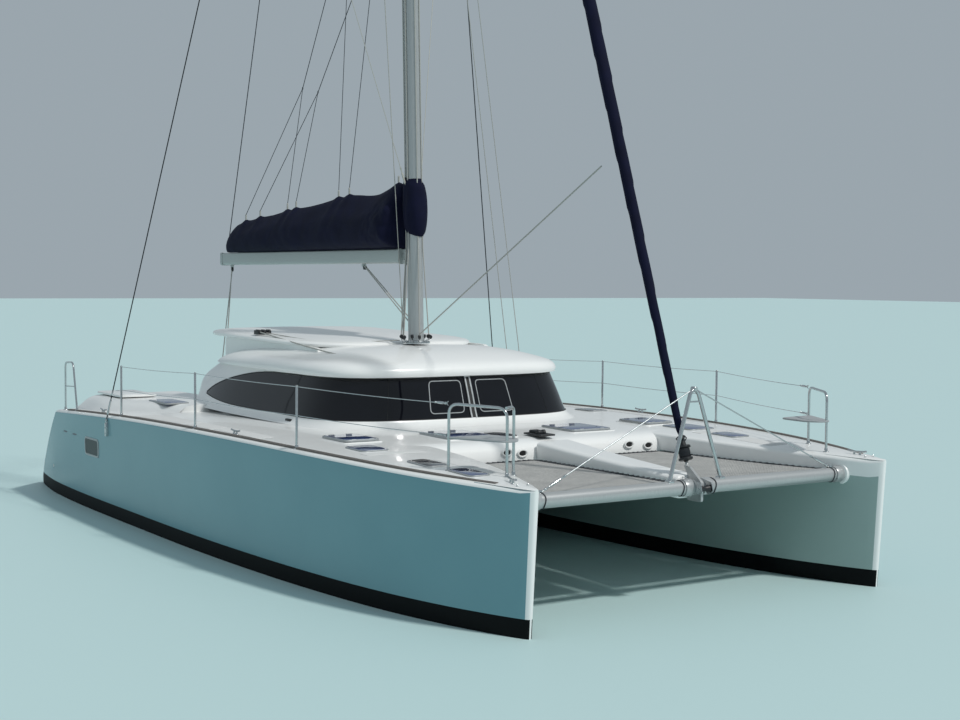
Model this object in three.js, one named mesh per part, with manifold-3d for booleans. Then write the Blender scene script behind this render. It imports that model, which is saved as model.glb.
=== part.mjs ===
// A cruising catamaran of thirteen metres, afloat, with its mainsail stowed and its headsail furled.
// Millimetres. +X points forward, +Y to port, +Z up. The origin is amidships on the centreline,
// at the waterline.

import * as THREE from 'three';
import { mergeVertices } from 'three/addons/utils/BufferGeometryUtils.js';
import Module from 'manifold-3d';

const wasm = await Module();
wasm.setup();

// Driving dimensions of the hulls
const HULL_Y = 2360;
const STEM_RAKE = 90;
const BOW_FREEBOARD = 1415;
const DECK_CAMBER = 18;
const BAND_TOP = 190;
const GAP = 0.3;
const BEARING_GAP = 0.5;

// Rudders, keels and saildrives
const RUDDER_X = -5650;
const RUDDER_STOCK_R = 28;
const KEEL_DRAFT = 1220;
const DRIVE_X = -4370;
const SHAFT_Z = -830;
const LEG_TOP = -240;
const POD_BACK = 150;
const PROPELLER_BACK = 205;

// Bridgedeck, cockpit and coachroof
const DECK_SIDE_Y = 1600;
const UNDERSIDE_Z = 620;
const SALOON_SOLE_Z = 700;
const COCKPIT_SOLE_Z = 850;
const WELL_HALF = 1300;
const FOREDECK_X = 3600;
const FOREDECK_Z = 1500;
const FOREDECK_AFT_X = 2040;
const COCKPIT_AFT_X = -4800;
const BRIDGE_AFT_X = -5060;
const BULKHEAD_X = -1880;
const BULKHEAD_T = 60;
const SALOON_FRONT_X = 1450;
const ROOF_X = 300;
const ROOF_POWER = 3.8;
const ROOF_T = 50;
const WINDOW_LOW = 1620;
const WINDOW_HIGH = 2135;

// Rig
const MAST_X = 440;
const MAST_Z = 2506;
const MAST_LENGTH = 17900;
const MAST_RAKE = 0.04;
const MAST_FORE_AFT = 280;
const MAST_WIDTH = 180;
const HOUNDS = 16080;
const GOOSENECK_X = 175;
const BOOM_Z = 3690;
const BOOM_LENGTH = 6080;
const BOOM_DEPTH = 200;
const BOOM_WIDTH = 150;
const BEAM_X = 6130;
const BEAM_Z = 1240;
const BEAM_R = 78;
const STRIKER_Z = 2270;
const STRIKER_HALF = 350;
const CHAINPLATE_X = -2500;
const TACK_X = 6000;
const TACK_Z = 1450;

const sheer = (x) => 1495 + 0.0146 * x - 4.1e-6 * x * x;
const mix = (a, b, t) => a + (b - a) * t;
const clamp01 = (t) => Math.min(1, Math.max(0, t));
const at = (x, y, z) => new THREE.Vector3(x, y, z);

// Joining and cutting

function toSolid(geometry) {
  geometry.deleteAttribute('normal');
  geometry.deleteAttribute('uv');
  const merged = mergeVertices(geometry, 1e-3);
  const source = merged.index.array;
  const triVerts = [];
  for (let i = 0; i < source.length; i += 3) {
    const [a, b, c] = source.slice(i, i + 3);
    if (a !== b && b !== c && c !== a) triVerts.push(a, b, c);
  }
  const vertProperties = Float32Array.from(merged.attributes.position.array);
  return new wasm.Manifold(new wasm.Mesh({ numProp: 3, vertProperties, triVerts: Uint32Array.from(triVerts) }));
}

function toGeometry(solid) {
  const { vertProperties, triVerts } = solid.getMesh();
  const geometry = new THREE.BufferGeometry();
  geometry.setAttribute('position', new THREE.BufferAttribute(vertProperties, 3));
  geometry.setIndex(new THREE.BufferAttribute(triVerts, 1));
  geometry.computeVertexNormals();
  return geometry;
}

const union = (solids) => solids.reduce((joined, solid) => joined.add(solid));
const cut = (solid, ...tools) => tools.reduce((rest, tool) => rest.subtract(tool), solid);

// A skin through closed sections of equal point count, with a fan over each end
function loft(sections) {
  const count = sections[0].length;
  const points = sections.flat();
  const index = [];
  for (let i = 0; i + 1 < sections.length; i++) {
    for (let j = 0; j < count; j++) {
      const a = i * count + j;
      const b = i * count + (j + 1) % count;
      index.push(a, b, b + count, a, b + count, a + count);
    }
  }
  for (const [first, flip] of [[0, true], [(sections.length - 1) * count, false]]) {
    const centre = points.slice(first, first + count)
      .reduce((sum, p) => sum.add(p), at(0, 0, 0)).divideScalar(count);
    points.push(centre);
    for (let j = 0; j < count; j++) {
      const a = first + j;
      const b = first + (j + 1) % count;
      index.push(...(flip ? [b, a, points.length - 1] : [a, b, points.length - 1]));
    }
  }
  let volume = 0;
  for (let i = 0; i < index.length; i += 3) {
    const [a, b, c] = index.slice(i, i + 3).map((k) => points[k]);
    volume += a.dot(b.clone().cross(c));
  }
  if (volume < 0) index.reverse();
  const geometry = new THREE.BufferGeometry().setFromPoints(points);
  geometry.setIndex(index);
  return toSolid(geometry);
}

function box(x0, x1, y0, y1, z0, z1) {
  const geometry = new THREE.BoxGeometry(x1 - x0, Math.abs(y1 - y0), z1 - z0);
  return toSolid(geometry.translate((x0 + x1) / 2, (y0 + y1) / 2, (z0 + z1) / 2));
}

// A plate with its outline in X and Z, as wide as y0 to y1
function prismY(outline, y0, y1) {
  const shape = new THREE.Shape(outline.map(([x, z]) => new THREE.Vector2(x, z)));
  const geometry = new THREE.ExtrudeGeometry(shape, { depth: y1 - y0, bevelEnabled: false });
  return toSolid(geometry.rotateX(Math.PI / 2).translate(0, y1, 0));
}

// A plate with its outline in X and Y
function prismZ(outline, z0, z1) {
  const shape = new THREE.Shape(outline.map(([x, y]) => new THREE.Vector2(x, y)));
  return toSolid(new THREE.ExtrudeGeometry(shape, { depth: z1 - z0, bevelEnabled: false }).translate(0, 0, z0));
}

function rod(from, to, radius, sides = 8, radiusTo = radius) {
  const geometry = new THREE.CylinderGeometry(radiusTo, radius, from.distanceTo(to), sides);
  const turn = new THREE.Quaternion().setFromUnitVectors(at(0, 1, 0), to.clone().sub(from).normalize());
  const middle = from.clone().add(to).multiplyScalar(0.5);
  return toSolid(geometry.applyQuaternion(turn).translate(middle.x, middle.y, middle.z));
}

// A bent tube: straight rods with a ball at each bend
function pipe(points, radius, sides = 8) {
  const pieces = [];
  for (let i = 0; i + 1 < points.length; i++) pieces.push(rod(points[i], points[i + 1], radius, sides));
  for (const p of points.slice(1, -1)) {
    pieces.push(toSolid(new THREE.SphereGeometry(radius * 1.02, sides, sides / 2).translate(p.x, p.y, p.z)));
  }
  return union(pieces);
}

const catamaran = new THREE.Group();

const PAINT = {
  gelcoat: { color: 0xf2f3f1, roughness: 0.3, metalness: 0 },
  antifouling: { color: 0x16181a, roughness: 0.7, metalness: 0 },
  alloy: { color: 0xc9ccce, roughness: 0.4, metalness: 0.7 },
  steel: { color: 0xd4d6d8, roughness: 0.2, metalness: 0.9 },
  boom: { color: 0xd9dcda, roughness: 0.35, metalness: 0 },
  canvas: { color: 0x10173a, roughness: 0.9, metalness: 0 },
  glass: { color: 0x1c1716, roughness: 0.05, metalness: 0 },
  hatch: { color: 0x2b3a63, roughness: 0.1, metalness: 0 },
  net: { color: 0xa9abab, roughness: 0.9, metalness: 0 },
  teak: { color: 0x9a6a43, roughness: 0.6, metalness: 0 },
  bronze: { color: 0x9c7a45, roughness: 0.3, metalness: 0.9 },
  cushion: { color: 0x3a4a68, roughness: 0.9, metalness: 0 },
  engine: { color: 0x6c7276, roughness: 0.5, metalness: 0.3 },
  wire: { color: 0x2a2c2e, roughness: 0.4, metalness: 0.8 },
};

function add(name, solid, paint, parent = catamaran) {
  const mesh = new THREE.Mesh(toGeometry(solid), new THREE.MeshStandardMaterial(PAINT[paint]));
  mesh.name = name;
  parent.add(mesh);
  return mesh;
}

const SIDES = [
  { name: 'starboard', s: -1 },
  { name: 'port', s: 1 },
];

// Hulls

// Stations: x, half breadth at the deck, half breadth at the waterline, depth of the canoe body
const STATIONS = [
  [6500, 42, 36, 60],
  [6380, 100, 84, 190],
  [6130, 215, 180, 330],
  [5600, 400, 350, 450],
  [4800, 590, 535, 540],
  [3800, 735, 680, 600],
  [2400, 850, 800, 640],
  [500, 918, 875, 650],
  [-1800, 920, 880, 630],
  [-3800, 900, 860, 540],
  [-5200, 830, 790, 380],
  [-6100, 720, 670, 230],
  [-6500, 640, 590, 150],
];

// Half section: share of the deck breadth, share of the waterline breadth, height from a datum
const deckRows = [[0, DECK_CAMBER], [0.9, 0], [0.975, -6], [1, -42]];
const bilgeRows = [[1, 0], [0.93, 0.42], [0.74, 0.76], [0.4, 0.95], [0, 1]];

function hullSection([x, deck, water, depth], side, grow) {
  const top = sheer(x);
  const half = [
    ...deckRows.map(([share, rise]) => [share * deck, top + rise]),
    [mix(deck, water, 0.45), 760],
    [mix(deck, water, 0.85), BAND_TOP],
    ...bilgeRows.map(([share, drop]) => [share * water, -drop * depth]),
  ];
  const bowward = clamp01((x - 4500) / 2000);
  const ring = [...half, ...half.slice(1, -1).reverse().map(([y, z]) => [-y, z])];
  return ring.map(([y, z]) => {
    const rake = STEM_RAKE * bowward * bowward * z / BOW_FREEBOARD;
    const out = y === 0 ? 0 : Math.sign(y) * grow;
    const up = z > 1000 ? grow : 0;
    return at(x + rake, side * HULL_Y + y + out, z + up);
  });
}

const deckHalf = (x) => {
  const i = Math.max(1, STATIONS.findIndex((row) => row[0] <= x));
  const [x0, half0] = STATIONS[i - 1];
  const [x1, half1] = STATIONS[i];
  return mix(half0, half1, (x - x0) / (x1 - x0));
};

// The raised aft deck beside the cockpit: y outboard of the centreline and height, then its run in x
const AFT_DECK = [[1300, 1250], [1300, 1575], [2780, 1562], [2900, 1520], [3040, 1360], [3040, 1250]];
const AFT_DECK_X = [-4950, -2200];
const ENGINE_BAY = { x0: -4700, x1: -3740, half: 255, floor: -200 };
const ENGINE_HATCH_Z = 1581;
const RIM = 26;
const CABIN_HATCH = { x: 2650, y: 2200, length: 620, width: 460 };
const HATCH_LIFT = 24;

function aftDeck(side, grow) {
  const ring = (x, drop, narrow) => AFT_DECK.map(([y, z]) => {
    const out = y > 2000 ? grow - narrow : -grow;
    return z < 1300 ? at(x, side * (y + out), z - grow) : at(x, side * (y + out), z - drop + grow);
  });
  return loft([
    ring(AFT_DECK_X[0] - grow, 200, 130),
    ring(AFT_DECK_X[0] + 120 - grow, 12, 130),
    ring(-3600, 0, 60),
    ring(AFT_DECK_X[1] + grow, 0, 620),
  ]);
}

// The stern slopes down from the deck's end to the foot of the transom
const STERN_X = -5000;
const TRANSOM_X = -6510;
const TRANSOM_Z = 90;

function hullBody(side, grow = 0) {
  const skin = loft(STATIONS.map((row) => hullSection(row, side, grow)));
  const y = side * HULL_Y;
  const [top, foot] = [STERN_X - grow, TRANSOM_X - grow];
  const sternCut = prismY([[top, 2000], [top, sheer(STERN_X)], [foot, TRANSOM_Z], [-7000, TRANSOM_Z],
    [-7000, 2000]], y - 1200, y + 1200);
  return cut(union([skin, aftDeck(side, grow)]), sternCut);
}

// The well under a flush lid, and the rim that the lid lies on
function hatchWell({ x, y, length, width }, side, floor, seat) {
  const plan = (inset, z0, z1) => box(x - length / 2 + inset, x + length / 2 - inset,
    side * y - width / 2 + inset, side * y + width / 2 - inset, z0, z1);
  return [plan(30, floor, 2000), plan(4, seat - 60, seat - GAP)];
}

// Stern steps: tread height and the forward end of the tread
const STEPS = [[960, -5060], [600, -5480], [240, -5900]];

function hull(side) {
  const y = side * HULL_Y;
  const bay = ENGINE_BAY;
  const engineBay = box(bay.x0, bay.x1, y - bay.half, y + bay.half, bay.floor, 2000);
  const coaming = box(bay.x0 - RIM, bay.x1 + RIM, y - bay.half - RIM, y + bay.half + RIM,
    1500, ENGINE_HATCH_Z - GAP);
  const hatch = CABIN_HATCH;
  const [cabin, cabinRim] = hatchWell(hatch, side, sheer(hatch.x) - 250, sheer(hatch.x) + HATCH_LIFT);
  const steps = STEPS.map(([z, x]) => box(-7000, x, y - 430, y + 430, z, 2000));
  const stock = rod(at(RUDDER_X, y, -700), at(RUDDER_X, y, 320), RUDDER_STOCK_R + BEARING_GAP, 48);
  const leg = box(DRIVE_X - 136, DRIVE_X + 22, y - 47, y + 47, -700, LEG_TOP);
  return cut(union([hullBody(side), coaming, cabinRim]), engineBay, cabin, stock, leg, ...steps);
}

// Rudders, keels and drives

// Foil section of a given chord about its own quarter point
function foil(x, y, z, chord, thickness) {
  const outline = [[0.25, 0], [0.2, 0.5], [0, 1], [-0.3, 0.75], [-0.75, 0]];
  const ring = [...outline, ...outline.slice(1, -1).reverse().map(([u, v]) => [u, -v])];
  return ring.map(([u, v]) => at(x + u * chord, y + v * thickness / 2, z));
}

function keel(side) {
  const y = side * HULL_Y;
  const fin = loft([
    foil(-100, y, -520, 2700, 300),
    foil(-150, y, -900, 2350, 230),
    foil(-250, y, -KEEL_DRAFT, 1850, 180),
  ]);
  return cut(fin, hullBody(side).translate([0, 0, -GAP]));
}

function rudder() {
  const blade = loft([
    foil(0, 0, -340, 470, 90),
    foil(-10, 0, -700, 440, 75),
    foil(-25, 0, -1080, 330, 50),
  ]);
  return union([blade, rod(at(0, 0, -400), at(0, 0, 300), RUDDER_STOCK_R, 16)]);
}

function drive(side) {
  const y = side * HULL_Y;
  const leg = loft([
    foil(DRIVE_X - 20, y, LEG_TOP - GAP, 150, 90),
    foil(DRIVE_X - 20, y, -520, 150, 90),
    foil(DRIVE_X, y, -900, 150, 90),
  ]);
  const pod = rod(at(DRIVE_X + 160, y, SHAFT_Z), at(DRIVE_X - POD_BACK, y, SHAFT_Z), 62, 12, 50);
  return union([leg, pod]);
}

function propeller() {
  const blades = [0, 1, 2].map((k) => {
    const blade = loft([
      [at(28, -30, 20), at(-28, 30, 20), at(-34, 24, 20), at(22, -36, 20)],
      [at(24, -62, 130), at(-24, 62, 130), at(-30, 58, 130), at(18, -66, 130)],
      [at(12, -34, 205), at(-12, 34, 205), at(-16, 30, 205), at(8, -38, 205)],
    ]);
    return blade.rotate([120 * k, 0, 0]);
  });
  return union([rod(at(PROPELLER_BACK - POD_BACK - GAP, 0, 0), at(-60, 0, 0), 46, 12, 24), ...blades]);
}

function engine(side) {
  const y = side * HULL_Y;
  const sump = box(DRIVE_X - 180, DRIVE_X + 480, y - 150, y + 150, ENGINE_BAY.floor + GAP, 120);
  const block = box(DRIVE_X - 260, DRIVE_X + 520, y - 215, y + 215, 60, 560);
  return union([sump, block]);
}

for (const { name, s } of SIDES) {
  add(`hull_${name}`, hull(s), 'gelcoat');
  add(`keel_${name}`, keel(s), 'antifouling');
  const pivot = new THREE.Group();
  pivot.position.set(RUDDER_X, s * HULL_Y, 0);
  catamaran.add(pivot);
  add(`rudder_${name}`, rudder(), 'antifouling', pivot);
  add(`saildrive_${name}`, drive(s), 'alloy');
  const shaft = new THREE.Group();
  shaft.position.set(DRIVE_X - PROPELLER_BACK, s * HULL_Y, SHAFT_Z);
  catamaran.add(shaft);
  add(`propeller_${name}`, propeller(), 'bronze', shaft);
  add(`engine_${name}`, engine(s), 'engine');
}

// Bridgedeck

const bothHulls = (grow) => union(SIDES.map(({ s }) => hullBody(s, grow)));

const LOCKER = { x: 2850, y: 900, length: 700, width: 620 };
const LOCKER_FLOOR = 1080;
const LOCKER_SEAT = 1523;

// Profile of the bridgedeck, raised by a gap where it is used to trim what stands on it
const bridgeProfile = (raise) => prismY([
  [BRIDGE_AFT_X, UNDERSIDE_Z],
  [1500, UNDERSIDE_Z],
  [2700, 820],
  [FOREDECK_X, 1250],
  [FOREDECK_X, FOREDECK_Z + raise],
  [2600, 1518 + raise],
  [1000, 1518 + raise],
  [-2200, 1488 + raise],
  [BRIDGE_AFT_X, 1400 + raise],
], -DECK_SIDE_Y, DECK_SIDE_Y);

// The deck between the hulls is three mouldings that butt together: foredeck, saloon floor and cockpit
function deckMoulding(x0, x1, rims, wells) {
  const slice = box(x0, x1, -DECK_SIDE_Y, DECK_SIDE_Y, 0, 3000);
  return cut(union([bridgeProfile(0).intersect(slice), ...rims]), bothHulls(GAP), ...wells);
}
const lockerWells = SIDES.map(({ s }) => hatchWell(LOCKER, s, LOCKER_FLOOR, LOCKER_SEAT));
const saloonWell = box(BULKHEAD_X - 1, SALOON_FRONT_X, -WELL_HALF, WELL_HALF, SALOON_SOLE_Z, 2000);
const cockpitWell = box(COCKPIT_AFT_X, BULKHEAD_X + 1, -WELL_HALF, WELL_HALF, COCKPIT_SOLE_Z, 2000);
add('foredeck', deckMoulding(FOREDECK_AFT_X, FOREDECK_X, lockerWells.map(([, rim]) => rim),
  lockerWells.map(([well]) => well)), 'gelcoat');
add('bridgedeck', deckMoulding(BULKHEAD_X + GAP, FOREDECK_AFT_X - GAP, [], [saloonWell]), 'gelcoat');
add('cockpit_well', deckMoulding(BRIDGE_AFT_X, BULKHEAD_X, [], [cockpitWell]), 'gelcoat');

// Coachroof

// Height, and how far the plan reaches forward, sideways and aft of the roof's middle
const ROOF_LEVELS = [
  [1380, 2000, 2170, 4260],
  [1475, 1880, 2090, 4240],
  [1545, 1690, 2000, 4220],
  [1605, 1605, 1955, 4200],
  [1900, 1495, 1845, 4150],
  [2145, 1400, 1755, 3600],
  [2152, 1462, 1815, 3640],
  [2215, 1470, 1822, 3430],
  [2300, 1395, 1745, 3050],
  [2390, 1100, 1450, 2520],
  [2440, 850, 1200, 1690],
  [2480, 480, 820, 950],
  [2496, 60, 60, 60],
];

function roofReach(z) {
  const i = Math.max(1, ROOF_LEVELS.findIndex((row) => row[0] >= z));
  const [low, high] = [ROOF_LEVELS[i - 1], ROOF_LEVELS[i]];
  const t = (z - low[0]) / (high[0] - low[0]);
  return [1, 2, 3].map((k) => mix(low[k], high[k], t));
}

// A point of the rounded plan, counted from the bow, with starboard at negative angles
function planPoint(angle, [forward, side, aft], offset, z) {
  const c = Math.cos(angle);
  const s = Math.sin(angle);
  const power = 2 / ROOF_POWER;
  const reach = (c > 0 ? forward : aft) + offset;
  const x = Math.sign(c) * Math.abs(c) ** power * reach;
  const y = Math.sign(s) * Math.abs(s) ** power * (side + offset);
  return at(ROOF_X + x, y, z);
}

const PLAN_STEPS = 44;

function roofForm(offset, drop) {
  const rings = ROOF_LEVELS.filter((row) => offset === 0 || row[0] !== 2152).map(([z, ...reach], i) => {
    const inner = offset !== 0 && z > 2152;
    const height = i === 0 ? z - drop : z + (inner ? offset : 0);
    return Array.from({ length: PLAN_STEPS }, (_, k) =>
      planPoint((k + 0.5) * 2 * Math.PI / PLAN_STEPS, reach, reach[0] > 100 ? offset : 0, height));
  });
  return loft(rings);
}

// Lower and upper edge of the side glass, which narrows to a point aft
const glassLow = (x) => WINDOW_LOW + 80 * clamp01((-1000 - x) / 1500) ** 2;
const glassHigh = (x) => WINDOW_HIGH - 420 * clamp01((ROOF_X - x) / 2800) ** 3;

// A curved band of the roof's wall between two depths and a list of plan angles
function glassBand(angles, depthIn, depthOut, margin) {
  return loft(angles.map((angle) => {
    const { x } = planPoint(angle, roofReach(1800), 0, 0);
    const low = glassLow(x) + margin;
    const high = Math.max(glassHigh(x) - margin, low + 12);
    const middle = mix(low, high, 0.5);
    const ring = [[low, depthOut], [middle, depthOut], [high, depthOut],
      [high, depthIn], [middle, depthIn], [low, depthIn]];
    return ring.map(([z, depth]) => planPoint(angle, roofReach(z), depth, z));
  }));
}

const frontAngle = (y) => Math.asin((y / 1870) ** (ROOF_POWER / 2));
const span = (from, to, steps, curve = (t) => t) =>
  Array.from({ length: steps + 1 }, (_, k) => curve(mix(from, to, k / steps)));

const SEAM_Y = 1180;
const SIDE_FROM = frontAngle(SEAM_Y) + 0.02;
const SIDE_TO = 2.04;
const MULLION_HALF = 48;
const GLASS = [];
for (const { name, s } of SIDES) {
  GLASS.push({ name: `front_window_${name}`, margin: BEARING_GAP,
    angles: span(MULLION_HALF, SEAM_Y, 5, frontAngle).map((a) => s * a) });
  GLASS.push({ name: `side_window_${name}`, margin: 3,
    angles: span(SIDE_FROM, SIDE_TO, 14).map((a) => s * a) });
}

const aftOpening = box(-5500, BULKHEAD_X, -WELL_HALF, WELL_HALF, 1000, 3000);

function coachroof() {
  const openings = GLASS.map(({ angles }) => glassBand(angles, -140, 70, 0));
  return cut(roofForm(0, 0), roofForm(-ROOF_T, 200), aftOpening, bothHulls(GAP), bridgeProfile(GAP),
    ...openings);
}
add('coachroof', coachroof(), 'gelcoat');

const PANE_OUT = -14;
const PANE_T = 10;
for (const { name, angles, margin } of GLASS) {
  const inset = [...angles];
  inset[0] = mix(angles[0], angles[1], 0.03);
  inset[angles.length - 1] = mix(angles.at(-1), angles.at(-2), 0.03);
  add(name, glassBand(inset, PANE_OUT - PANE_T, PANE_OUT, margin), 'glass');
}

// Hardtop over the forward cockpit, carried on side walls that grow out of the coachroof

const HARDTOP = { front: 230, aft: -3600, half: 1430, under: 2445, top: 2535, rise: 80 };

function hardtop() {
  const outline = [[HARDTOP.front, -900], [HARDTOP.front, 900], [-150, 1280], [-700, HARDTOP.half],
    [-3150, HARDTOP.half], [-3400, 1250], [HARDTOP.aft, 500], [HARDTOP.aft, -500], [-3400, -1250],
    [-3150, -HARDTOP.half], [-700, -HARDTOP.half], [-150, -1280]];
  const middle = (HARDTOP.front + HARDTOP.aft) / 2;
  const ring = (z, inset) => outline.map(([x, y]) => {
    const px = middle + (x - middle) * (1 - inset / 1900);
    const py = y * (1 - inset / 1430);
    return at(px, py, z + HARDTOP.rise * (HARDTOP.front - px) / 3830);
  });
  const plate = loft([ring(HARDTOP.under, 40), ring(HARDTOP.under + 30, 0), ring(HARDTOP.top - 45, 0),
    ring(HARDTOP.top - 10, 60), ring(HARDTOP.top + 35, 700), ring(HARDTOP.top + 50, 1300)]);
  const walls = SIDES.map(({ s }) => prismY([[-2800, 1500], [200, 1500], [200, 2470], [-2800, 2530]],
    Math.min(s * WELL_HALF, s * (WELL_HALF + 55)), Math.max(s * WELL_HALF, s * (WELL_HALF + 55))));
  return cut(union([plate, ...walls]), roofForm(0, 0).translate([0, 0, GAP]),
    roofForm(0, 0).translate([-GAP, 0, 0]), bothHulls(GAP), box(-6000, 3600, -1500, 1500, 1000, 1700));
}
add('hardtop', hardtop(), 'gelcoat');

// Saloon bulkhead with its doorway and two windows, and the sliding door

const DOORWAY = { half: 350, low: 870, high: 2330 };
const DOOR_X = BULKHEAD_X - BULKHEAD_T - 6;
const DOOR_Z = COCKPIT_SOLE_Z + 8;
const DOOR_T = 34;

function bulkhead() {
  const x0 = BULKHEAD_X - BULKHEAD_T;
  const panel = box(x0, BULKHEAD_X - GAP, -WELL_HALF + GAP, WELL_HALF - GAP, COCKPIT_SOLE_Z + GAP, 2486);
  const doorway = box(x0 - 10, BULKHEAD_X + 10, -DOORWAY.half, DOORWAY.half, DOORWAY.low, DOORWAY.high);
  const windows = SIDES.map(({ s }) => box(x0 - 10, BULKHEAD_X + 10, s * 800 - 330, s * 800 + 330, 1560, 2250));
  const track = box(DOOR_X - DOOR_T, BULKHEAD_X - GAP, -DOORWAY.half - 762, DOORWAY.half + 42,
    COCKPIT_SOLE_Z + GAP, DOOR_Z - GAP);
  return union([cut(panel, doorway, ...windows), track]);
}
add('saloon_bulkhead', bulkhead(), 'gelcoat');

add('saloon_door', box(DOOR_X - DOOR_T, DOOR_X, -DOORWAY.half - 40, DOORWAY.half + 40,
  DOOR_Z, DOORWAY.high + 40), 'glass');

// Frames of the mast and of the forestay

const mastFrame = new THREE.Group();
mastFrame.position.set(MAST_X, 0, MAST_Z);
mastFrame.rotation.y = -MAST_RAKE;
catamaran.add(mastFrame);
mastFrame.updateMatrixWorld(true);

// The forestay runs from the tack plate on the crossbeam to its tang on the mast
const STAY_FOOT = at(TACK_X, 0, TACK_Z);
const STAY_HEAD = at(MAST_FORE_AFT / 2 + 60, 0, HOUNDS - 20).applyMatrix4(mastFrame.matrixWorld);
const stayFrame = new THREE.Group();
stayFrame.position.copy(STAY_FOOT);
stayFrame.quaternion.setFromUnitVectors(at(0, 0, 1), STAY_HEAD.clone().sub(STAY_FOOT).normalize());
catamaran.add(stayFrame);
const STAY_LENGTH = STAY_HEAD.distanceTo(STAY_FOOT);
const STAY_R = 8;
const ROLL_HEAD = STAY_LENGTH - 700;

const stayPoint = (along) => STAY_FOOT.clone().lerp(STAY_HEAD, along / STAY_LENGTH);
const DRUM_FOOT = 40;

// Crossbeam, longeron, striker and nets

function crossbeam() {
  const beam = rod(at(BEAM_X, -HULL_Y, BEAM_Z), at(BEAM_X, HULL_Y, BEAM_Z), BEAM_R, 16);
  const collars = [-2080, 2080, -130, 130].map((y) =>
    rod(at(BEAM_X, y - 55, BEAM_Z), at(BEAM_X, y + 55, BEAM_Z), BEAM_R + 14, 16));
  const tack = prismY([[BEAM_X - 110, BEAM_Z - 150], [BEAM_X + 110, BEAM_Z - 150], [BEAM_X + 110, BEAM_Z + 60],
    [TACK_X + 40, TACK_Z], [TACK_X - 40, TACK_Z], [BEAM_X - 110, BEAM_Z + 130]], -16, 16);
  const toggle = rod(stayPoint(-20), stayPoint(DRUM_FOOT - GAP), 18, 10);
  return cut(union([beam, ...collars, tack, toggle]), bothHulls(GAP));
}
add('crossbeam', crossbeam(), 'alloy');

function longeronForm(grow) {
  const ring = (x, half, low, high) => {
    const wide = half + grow;
    return [at(x, -wide, low), at(x, wide, low), at(x, wide * 1.05, high - 30), at(x, wide * 0.8, high),
      at(x, -wide * 0.8, high), at(x, -wide * 1.05, high - 30)];
  };
  return loft([ring(FOREDECK_X + GAP, 250, 1180, 1500), ring(4700, 200, 1130, 1420),
    ring(BEAM_X, 150, 1110, 1345)]);
}

function longeron() {
  const around = rod(at(BEAM_X, -800, BEAM_Z), at(BEAM_X, 800, BEAM_Z), BEAM_R + 14 + GAP, 16);
  const nose = box(BEAM_X - 112, BEAM_X + 400, -400, 400, 900, 1700);
  return cut(longeronForm(0), around, nose);
}
add('longeron', longeron(), 'gelcoat');

function striker() {
  const apex = at(BEAM_X - 40, 0, STRIKER_Z);
  const top = BEAM_Z + BEAM_R + 8;
  const legs = SIDES.map(({ s }) =>
    pipe([at(BEAM_X, s * STRIKER_HALF, top), at(BEAM_X - 40, s * 45, STRIKER_Z - 40), apex], 22, 8));
  const feet = SIDES.map(({ s }) => box(BEAM_X - 45, BEAM_X + 45, s * STRIKER_HALF - 40, s * STRIKER_HALF + 40,
    BEAM_Z + 50, top + 8));
  const stays = SIDES.map(({ s }) => rod(apex, at(BEAM_X, s * 2000, BEAM_Z + BEAM_R - 4), 7, 6));
  const beam = rod(at(BEAM_X, -HULL_Y, BEAM_Z), at(BEAM_X, HULL_Y, BEAM_Z), BEAM_R + GAP, 16);
  return cut(union([...legs, ...feet, ...stays]), beam);
}
add('striker', striker(), 'steel');

const NET_T = 12;
const NET_Z = 1272;

function trampoline(side) {
  const outer = (x) => HULL_Y - deckHalf(x) - 45;
  const aft = FOREDECK_X + 50;
  const fore = BEAM_X - BEAM_R - 60;
  const steps = span(aft, fore, 5);
  const near = steps.map((x) => [x, side * outer(x)]);
  const far = [...steps].reverse().map((x) => [x, side * (mix(250, 150, (x - aft) / (fore - aft)) * 1.05 + 60)]);
  const outline = side > 0 ? [...near, ...far].reverse() : [...near, ...far];
  const middle = NET_Z + NET_T / 2;
  const tie = (x0, y0, x1, y1) => rod(at(x0, side * y0, middle), at(x1, side * y1, middle), NET_T / 2 - 1, 8);
  const outboard = steps.slice(0, -1).map((x) =>
    tie(x + 150, outer(x + 150) - 30, x + 150, outer(x + 150) + 120));
  const inboard = steps.slice(0, -1).map((x) => tie(x + 150, 330, x + 150, 150));
  const ends = [800, 1300].flatMap((y) => [tie(aft + 20, y, aft - 80, y), tie(fore - 20, y, BEAM_X, y)]);
  const beam = rod(at(BEAM_X, -HULL_Y, BEAM_Z), at(BEAM_X, HULL_Y, BEAM_Z), BEAM_R + GAP, 16);
  return cut(union([prismZ(outline, NET_Z, NET_Z + NET_T), ...outboard, ...inboard, ...ends]),
    beam, hullBody(side, GAP), longeronForm(GAP), bridgeProfile(GAP).translate([GAP, 0, 0]));
}
for (const { name, s } of SIDES) add(`trampoline_${name}`, trampoline(s), 'net');

// Mast, boom, stowed mainsail, furled headsail and shrouds

const oval = (a, b, z, count = 14) => Array.from({ length: count }, (_, k) => {
  const angle = 2 * Math.PI * (k + 0.5) / count;
  return at(a * Math.cos(angle), b * Math.sin(angle), z);
});

const SPREADER = { z: 8600, out: 1465, back: 1255 };
const LUG_RISE = 84;
const LUG_HALF = 12;
const EYE_HALF = LUG_RISE - LUG_HALF - 1.6;
const goose = mastFrame.worldToLocal(at(GOOSENECK_X, 0, BOOM_Z));

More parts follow.
